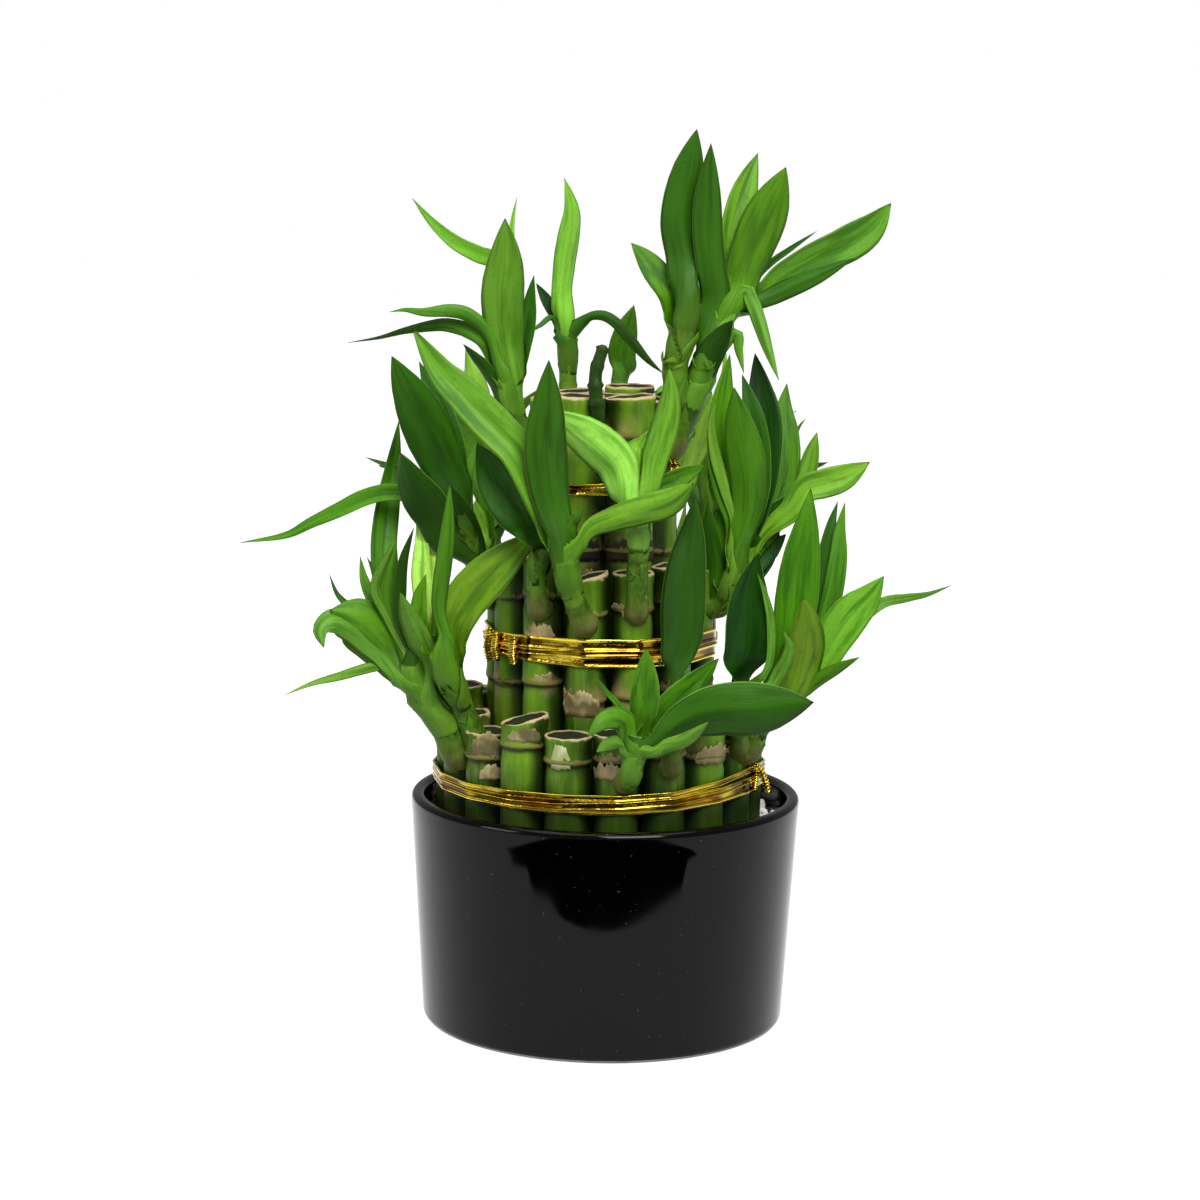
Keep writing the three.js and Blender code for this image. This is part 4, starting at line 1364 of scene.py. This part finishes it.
def fan_stem(reach, rise, off=0, scale=1, mirror=1, lift=1):
    """A stem that leans out, `off` degrees to the side of its cane's bearing, with the fan of leaves."""
    def grow(skin, root, cane, draw):
        heading = cane["bearing"] + math.radians(off)
        out = outward(heading)
        start = root + outward(cane["bearing"]) * cane["radius"]
        elbow = start + out * reach * 0.5 + Vector((0, 0, rise * 0.3))
        top = start + out * reach + Vector((0, 0, rise))
        stem = Line([root, start, elbow, top])
        radius = FAN_RADIUS
        add_stem(skin, stem, (radius, radius * 0.75), cane["radius"], draw)
        bare_sheaths(skin, stem, radius * 0.92, cane["radius"] + 3, draw)
        for k, (on, spread, climb, long, wide, look) in enumerate(FAN):
            sideways = outward(heading + math.radians(mirror * spread))
            angle = math.radians(climb * lift)
            base = stem.at(min(on, 0.99))
            level, up = long * scale * math.cos(angle), long * scale * math.sin(angle)
            tip = base + sideways * level + Vector((0, 0, up))
            mid = base + sideways * level * 0.4 + Vector((0, 0, up * 0.62))
            face = (Vector((0, 0, 1)) + out * 0.6).normalized()
            girth = radius * (0.96 - 0.04 * k)
            leaf = plain_leaf(wide * scale)
            rows = leaf_rows(stem, girth, min(on, 0.98), [mid, tip], leaf, lambda at: face, 11, draw)
            add_leaf(skin, rows, varied(look, draw), draw.uniform(0, 50))
    return grow


# Where each shoot grows: the tier and number of its cane, the height of its root, and its stems.
SHOOTS = {
    "shoot_upper_left": dict(
        cane=("upper", 5),
        height=196,
        stems=[
            front_stem([(520, 426, 4), (511, 399, 5), (507, 372, 6)], 4, [
                blade(0.95, [
                    (506, 345), (503, 300), (496, 263), (478, 254), (455, 242), (432, 222), (412, 198),
                ], -12, 18, "light"),
                blade(0.8, [(505, 345), (502, 300), (505, 258), (505, 218)], 14, 44, "light", peak=0.55),
                blade(0.95, [(511, 262), (512, 226), (517, 197)], -8, 9, "light"),
                blade(0.9, [(523, 345), (528, 318), (530, 298), (534, 275)], 4, 17, "dark"),
                blade(0.95, [(492, 338), (470, 316), (450, 310), (424, 311), (405, 309), (389, 312)],
                      10, 14, "mid", twist=60),
                blade(0.9, [
                    (488, 345), (470, 331), (452, 325), (436, 324), (405, 329), (378, 337), (348, 343),
                ], 0, 16, "mid", peak=0.3, twist=-50),
                blade(0.6, [(487, 372), (474, 356), (463, 344)], 12, 14, "deep"),
            ]),
        ],
    ),
    "shoot_upper_centre": dict(
        cane=("upper", 4),
        height=203,
        stems=[
            front_stem([(569, 397, -24), (568, 351, -24), (567, 325, -23)], 3.4, [
                blade(1, [(564, 295), (566, 265), (571, 236), (573, 210), (564, 178)],
                      -20, 23, "bright", turn=15, foot=0.8),
                blade(0.92, [(551, 308), (544, 296), (536, 283)], -30, 13, "deep", turn=20),
                blade(0.88, [(553, 318), (540, 325), (527, 334)], -16, 6, "dark", turn=40),
                blade(0.92, [(583, 318), (600, 315), (615, 322), (630, 339), (648, 360), (664, 374)],
                      -12, 12, "dark", turn=10),
            ]),
        ],
    ),
    "shoot_upper_right": dict(
        cane=("upper", 2),
        height=190,
        stems=[
            front_stem([(671, 447, 6), (681, 415, 9), (675, 372, 10), (683, 335, 11), (690, 303, 12)],
                       4.4, taper=0.9, blades=[
                blade(1, [(688, 283), (684, 262), (679, 222), (687, 178), (697, 129)],
                      12, 37, "dark", foot=0.7, peak=0.62),
                blade(0.85, [(670, 296), (655, 272), (643, 256), (631, 243)], 6, 27, "mid", peak=0.55),
            ]),
            front_stem([
                (671, 447, 6), (684, 415, 8), (697, 385, 9), (708, 357, 9), (717, 328, 8), (727, 306, 6),
            ], 4.4, taper=0.85, blades=[
                blade(0.45, [(704, 366), (722, 335), (733, 320)], 22, 29, "deep"),
                blade(0.8, [(716, 300), (712, 270), (708, 232), (708, 195), (711, 143)],
                      20, 30, "dark", foot=1, peak=0.6),
                blade(0.95, [(733, 262), (734, 232), (740, 205), (748, 180), (758, 153)],
                      -6, 31, "light", peak=0.62),
                blade(0.95, [(738, 288), (744, 268), (757, 235), (771, 203), (786, 167)],
                      14, 45, "mid", peak=0.6),
                blade(1, [(765, 268), (790, 249), (817, 231)], -10, 7, "dark"),
                blade(1, [(765, 289), (785, 274), (815, 258), (845, 244), (870, 228), (891, 203)],
                      -2, 37, "light", peak=0.7),
                blade(1, [(770, 296), (795, 285), (820, 274), (854, 258)], 8, 20, "dark", peak=0.5),
                blade(0.85, [(742, 292), (752, 303), (760, 325), (768, 350), (779, 381)], 18, 15, "pale"),
                blade(0.6, [(733, 335), (739, 352), (744, 374)], 12, 12, "light"),
            ]),
        ],
    ),
    "shoot_upper_back": dict(
        cane=("upper", 3),
        height=203,
        stems=[
            front_stem([(621, 401, -26), (618, 386, -32)], 3.2, [
                blade(1, [(621, 372), (624, 345), (634, 305)], -34, 30, "mid", peak=0.42, foot=0.9),
            ]),
            fan_stem(reach=12, rise=3, scale=0.42, lift=0.1),
        ],
    ),
    "shoot_front": dict(
        cane=("middle", 0),
        height=140,
        stems=[
            front_stem([(583, 622, 40), (570, 586, 43), (560, 550, 45)], 4.2, [
                blade(1, [
                    (540, 505), (520, 456), (500, 433), (480, 412), (460, 391), (440, 371), (412, 328),
                ], 38, 39, "light", peak=0.55),
                blade(0.95, [(556, 520), (549, 480), (546, 440), (548, 400), (549, 360)],
                      52, 42, "dark", peak=0.5),
                blade(0.92, [(585, 532), (612, 520), (642, 511), (670, 502), (694, 483)],
                      62, 29, "light", peak=0.72, foot=0.3),
                blade(0.88, [(571, 528), (576, 518), (584, 507)], 50, 13, "mid"),
            ]),
        ],
    ),
    "shoot_front_left": dict(
        cane=("middle", 12),
        height=143,
        stems=[
            front_stem([(539, 607, 33), (537, 574, 36), (545, 550, 38)], 3.8, [
                blade(1, [(530, 528), (513, 505), (496, 478), (477, 443)], 32, 45, "dark"),
            ]),
        ],
    ),
    "shoot_front_right": dict(
        cane=("middle", 1),
        height=142,
        stems=[
            front_stem([(637, 608, 38), (638, 560, 42), (640, 507, 44)], 3.8, [
                blade(0.95, [(628, 492), (615, 466), (598, 449), (580, 434), (560, 420), (545, 409)],
                      44, 44, "lit"),
                blade(1, [(645, 490), (652, 462), (662, 432), (669, 400), (669, 367)], 44, 28, "light"),
                blade(0.97, [(633, 455), (642, 442), (653, 428)], 30, 16, "light"),
                blade(0.97, [(655, 492), (672, 482), (688, 473), (705, 465)], 40, 22, "mid"),
            ]),
        ],
    ),
    "shoot_left": dict(
        cane=("middle", 10),
        height=142,
        stems=[
            front_stem([(488, 597, 10), (476, 561, 14), (462, 513, 16)], 3.6, [
                blade(1, [(460, 498), (449, 468), (435, 438), (418, 405), (404, 380), (392, 356)],
                      22, 50, "dark"),
                blade(1, [(458, 485), (451, 445), (440, 412), (429, 385), (419, 361)], 8, 27, "dark"),
                blade(0.7, [(447, 540), (430, 512), (413, 485), (400, 453)], 28, 42, "deep"),
                blade(0.9, [(415, 478), (392, 467), (365, 457)], -8, 9, "mid"),
                blade(0.93, [
                    (430, 500), (400, 494), (382, 494), (362, 500),
                    (340, 511), (312, 524), (285, 537), (240, 543),
                ], 12, 19, "mid", peak=0.5, twist=40),
                blade(0.9, [(466, 490), (468, 468), (477, 441)], 2, 16, "mid"),
                blade(0.6, [(474, 545), (462, 515), (450, 485)], 22, 24, "deep"),
            ]),
        ],
    ),
    "shoot_low_left": dict(
        cane=("lower", 16),
        height=95,
        stems=[
            front_stem([(457, 752, 26), (441, 718, 29), (423, 690, 30), (411, 668, 30)], 5.4, [
                blade(0.93, [(362, 618), (345, 603), (336, 592), (329, 573)], 15, 9, "dark"),
                blade(0.93, [(392, 655), (372, 634), (354, 619), (330, 610)],
                      36, 54, "mid", peak=0.66, foot=0.3),
                blade(0.93, [(374, 645), (352, 626), (333, 620), (320, 630), (324, 648)],
                      42, 30, "pale", peak=0.6, foot=0.3),
                blade(0.8, [(402, 672), (384, 665), (362, 669), (338, 676), (312, 683), (284, 695)],
                      38, 11, "light", foot=1.4, twist=40),
                blade(1, [(402, 640), (388, 610), (384, 582), (396, 540)], 34, 33, "mid"),
                blade(1, [(390, 620), (376, 592), (380, 572), (397, 540)], 37, 11, "pale"),
                blade(1, [(385, 620), (366, 585), (360, 556)], 20, 15, "mid"),
                blade(1, [(384, 605), (375, 575), (367, 557)], 16, 11, "dark"),
                blade(1, [(402, 620), (401, 590), (404, 560), (414, 527)], 40, 13, "deep", turn=20),
                blade(0.86, [(426, 660), (418, 640), (408, 617), (400, 592)], 46, 25, "pale"),
                blade(1, [(398, 620), (385, 585), (383, 545), (387, 505), (393, 465), (399, 420)],
                      -5, 27, "mid"),
                blade(1, [(424, 610), (422, 575), (422, 540), (417, 513)], 8, 21, "vivid"),
                blade(0.9, [(433, 610), (434, 570), (430, 540), (424, 520)], 2, 13, "vivid"),
            ]),
            front_stem([(477, 748, 27), (464, 714, 29), (450, 682, 36), (438, 650, 38)], 4.8, [
                blade(1, [(421, 625), (419, 600), (426, 574)], 36, 17, "mid"),
                blade(0.95, [(438, 620), (440, 590), (444, 560), (448, 525), (450, 483)], 44, 17, "mid"),
                blade(0.85, [(450, 640), (462, 608), (485, 580), (510, 556), (540, 530)], 27, 45, "olive"),
            ]),
        ],
    ),
    "shoot_right": dict(
        cane=("middle", 3),
        height=141,
        stems=[
            front_stem([(720, 606, 12), (729, 587, 16), (743, 560, 18)], 3.7, [
                blade(1, [(746, 520), (748, 480), (742, 440), (737, 412), (734, 387)],
                      26, 40, "mid", peak=0.55),
                blade(0.95, [(738, 525), (728, 490), (722, 450), (722, 405), (730, 354)],
                      14, 34, "mid", peak=0.5),
                blade(0.95, [(737, 525), (727, 490), (716, 455), (712, 425), (716, 400)], 20, 14, "pale"),
                blade(0.95, [(756, 500), (758, 460), (754, 420), (748, 395), (742, 374)],
                      10, 26, "dark", peak=0.6),
                blade(0.95, [(758, 500), (764, 460), (765, 420), (760, 385), (755, 353)],
                      4, 36, "deep", peak=0.6),
                blade(1, [(772, 520), (782, 480), (785, 440), (784, 410), (787, 383)],
                      0, 32, "mid", peak=0.55),
                blade(1, [(788, 470), (797, 432), (806, 418)], -8, 7, "dark"),
                blade(1, [(765, 530), (788, 512), (803, 488), (810, 462), (817, 432)],
                      10, 19, "light", peak=0.75, foot=0.3),
                blade(1, [(765, 532), (790, 512), (806, 490), (824, 484), (845, 477), (870, 462)],
                      14, 30, "light", peak=0.72, foot=0.25),
                blade(0.95, [(762, 530), (780, 508), (798, 492)], 12, 24, "dark"),
                blade(0.45, [(717, 575), (712, 550), (709, 525), (708, 502)], 22, 20, "dark"),
                blade(0.7, [(752, 572), (766, 545), (778, 515)], 6, 30, "deep"),
                blade(0.8, [(752, 566), (768, 552), (786, 534)], 10, 22, "dark"),
                blade(0.55, [(728, 570), (726, 545), (722, 520), (723, 498)], 16, 20, "mid"),
            ]),
        ],
    ),
    "shoot_low_right_front": dict(
        cane=("lower", 2),
        height=96,
        stems=[
            front_stem([(671, 767, 50), (672, 748, 54), (680, 715, 54), (682, 692, 52)], 3.5, [
                blade(1, [(680, 660), (680, 620), (684, 575), (691, 535), (695, 497)],
                      50, 45, "deep", peak=0.42),
            ]),
        ],
    ),
    "shoot_low_right": dict(
        cane=("lower", 4),
        height=97,
        stems=[
            front_stem([(740, 748, 28), (736, 716, 36), (742, 690, 40)], 3.5, [
                blade(1, [(746, 660), (747, 630), (748, 600), (752, 575), (758, 553)],
                      44, 51, "deep", peak=0.38),
                blade(1, [(768, 685), (782, 668), (789, 648), (783, 630)], 48, 14, "pale"),
                blade(1, [(768, 660), (771, 625), (766, 597), (757, 572)], 46, 9, "pale"),
            ]),
            front_stem([(749, 751, 26), (760, 725, 30), (776, 698, 32)], 4, [
                blade(0.95, [(788, 660), (795, 610), (800, 565), (806, 525), (811, 488)],
                      26, 43, "mid", peak=0.5),
                blade(1, [(795, 682), (804, 655), (807, 628), (804, 598)], 44, 43, "olive", peak=0.45),
                blade(0.95, [(812, 640), (821, 600), (825, 560), (831, 525), (838, 501)],
                      14, 20, "dark", peak=0.6),
                blade(0.95, [(815, 645), (831, 600), (838, 560), (840, 530), (845, 502)],
                      18, 20, "mid", peak=0.6),
                blade(1, [(812, 672), (832, 642), (850, 617), (868, 598), (884, 576)],
                      30, 40, "light", peak=0.62),
                blade(1, [(820, 665), (850, 630), (880, 604), (905, 598), (928, 594), (952, 585)],
                      10, 12, "pale", twist=30),
                blade(1, [(803, 690), (822, 677), (842, 666), (860, 657)], 38, 14, "mid"),
            ]),
        ],
    ),
    "shoot_low_front": dict(
        cane=("lower", 1),
        height=90,
        stems=[
            front_stem([(629, 781, 58), (634, 762, 62), (640, 744, 64)], 3.5, [
                blade(1, [(665, 730), (690, 720), (720, 712), (755, 711), (788, 706), (814, 702)],
                      74, 54, "dark", peak=0.6, foot=0.3),
                blade(1, [(645, 705), (646, 675), (646, 648)], 60, 29, "mid"),
                blade(1, [(655, 722), (672, 703), (692, 686), (719, 658)], 58, 28, "mid"),
                blade(0.95, [(626, 722), (606, 719), (587, 737)], 74, 22, "mid"),
                blade(1, [(620, 708), (608, 694), (594, 675)], 66, 6, "mid"),
                blade(0.95, [(660, 748), (686, 740), (709, 722)], 76, 15, "pale"),
                blade(0.9, [(627, 730), (610, 711)], 68, 19, "light"),
                blade(0.9, [(622, 745), (608, 745), (596, 752)], 70, 15, "pale"),
            ]),
        ],
    ),
    "shoot_middle_back_right": dict(
        cane=("middle", 5),
        height=142,
        stems=[
            front_stem([(684, 588, -27), (670, 552, -32), (666, 510, -32)], 3.2, [
                blade(1, [(676, 482), (684, 455), (694, 428), (712, 392)],
                      -22, 50, "glow", peak=0.5, foot=0.8),
                blade(0.95, [(650, 485), (636, 455), (617, 413)], -34, 22, "mid"),
            ]),
            fan_stem(off=22, reach=18, rise=30),
        ],
    ),
    "shoot_middle_back_left": dict(
        cane=("middle", 9),
        height=142,
        stems=[
            front_stem([(494, 576, -20), (484, 549, -22)], 3.2, [
                blade(1, [(479, 525), (475, 500)], -20, 18, "bright"),
                blade(0.95, [(486, 515), (484, 485), (478, 453)], -24, 14, "mid"),
            ]),
            fan_stem(off=-38, reach=20, rise=30),
        ],
    ),
    "shoot_low_back": dict(
        cane=("lower", 10),
        height=96,
        stems=[
            fan_stem(off=60, reach=22, rise=24, scale=0.9, mirror=-1),
            fan_stem(off=-55, reach=24, rise=28, scale=0.95),
        ],
    ),
}


def make_shoots():
    leaf, stem = living_leaf(), stem_skin()
    for name, shoot in SHOOTS.items():
        draw = random.Random(name)
        tier, number = shoot["cane"]
        cane = CANES[tier][number]
        root = Vector((cane["x"], cane["y"], shoot["height"]))
        skin = Skin()
        for grow in shoot["stems"]:
            grow(skin, root, cane, draw)
        mesh = skin.mesh(f"{name}_leaves")
        piece = new_object(mesh.name, mesh, [leaf, stem])
        finish_piece(piece, "leaf", name)


# The stub's line in the front view, its radii at foot and end, and how far its ridges stand out as
# a share of those.
STUB = dict(
    points=[(588, 438, 16), (598, 420, 22), (596, 396, 24), (596, 372, 23), (604, 345, 22)],
    radii=(2.6, 1.9), lumps=0.35,
)


def make_stub():
    """The dried end of a shoot that was cut short, on the first of the upper canes."""
    draw = random.Random("stub")
    line = Line([seen(*place) for place in STUB["points"]])
    skin = Skin()
    add_stem(skin, line, STUB["radii"], 0, draw, STUB["lumps"])
    mesh = skin.mesh("dried_shoot")
    skins = [dry_sheath("stub_end"), stem_skin("stub_skin", (10, 30, 2), (52, 84, 20))]
    finish_piece(new_object(mesh.name, mesh, skins), "cane")


# ---- Studio ----

# A matt card lies on the floor in front of the pot, which mirrors it, and shows in nothing else.
CARD_OUTLINE = [
    (-1500, -1500), (1500, -1500), (1500, -760), (560, -700), (232, -640),
    (214, -200), (192, -163), (170, -176), (140, -163), (112, -170), (70, -176),
    (0, -174), (-60, -172), (-96, -178), (-120, -168), (-150, -176), (-178, -156), (-212, -160),
    (-232, -640), (-560, -700), (-1500, -760),
]


def soft_light(name, place, aim, side, power):
    data = bpy.data.lights.new(name, "AREA")
    data.shape = "SQUARE"
    data.size = side * MM
    data.energy = power
    lamp = linked_object(name, data)
    place, aim = Vector(place) * MM, Vector(aim) * MM
    turn = (aim - place).to_track_quat("-Z", "Y").to_matrix().to_4x4()
    lamp.matrix_world = Matrix.Translation(place) @ turn


def flat_stage(name, points, height, material):
    mesh = mesh_of(name, [(x, y, height) for x, y in points], [tuple(range(len(points)))])
    sheet = new_object(name, mesh, [material])
    return sheet


def light_world(backdrop, ambient):
    """A white backdrop for the camera, and softer light from all around for everything else."""
    world = bpy.data.worlds.new("studio")
    world.use_nodes = True
    tree = world.node_tree
    rays = add_node(tree, "ShaderNodeLightPath").outputs["Is Camera Ray"]
    strength = between(tree, rays, 0.0, 1.0, ambient, backdrop)
    tree.nodes["Background"].inputs["Color"].default_value = (1, 1, 1, 1)
    tree.links.new(strength, tree.nodes["Background"].inputs["Strength"])
    bpy.context.scene.world = world


def make_studio():
    half = 4000
    corners = [(-half, -half), (half, -half), (half, half), (-half, half)]
    floor = flat_stage("floor", corners, 0, studio_floor())
    floor.visible_diffuse = False
    card = flat_stage("card", CARD_OUTLINE, 1, matt_card())
    card.visible_camera = card.visible_diffuse = card.visible_shadow = False
    light_world(backdrop=1.0, ambient=0.3)
    soft_light("key", (350, -1050, 1150), (0, 0, 150), 800, 24)
    soft_light("fill", (-1100, -500, 600), (0, 0, 150), 500, 4)
    soft_light("top", (0, 100, 2200), (0, 0, 100), 2400, 37)
    bpy.context.scene.view_settings.view_transform = "Standard"


photo_camera()
make_studio()
make_pot()
make_canes()
make_dry_sheaths()
make_patches()
make_gravel()
make_ties()
make_shoots()
make_stub()
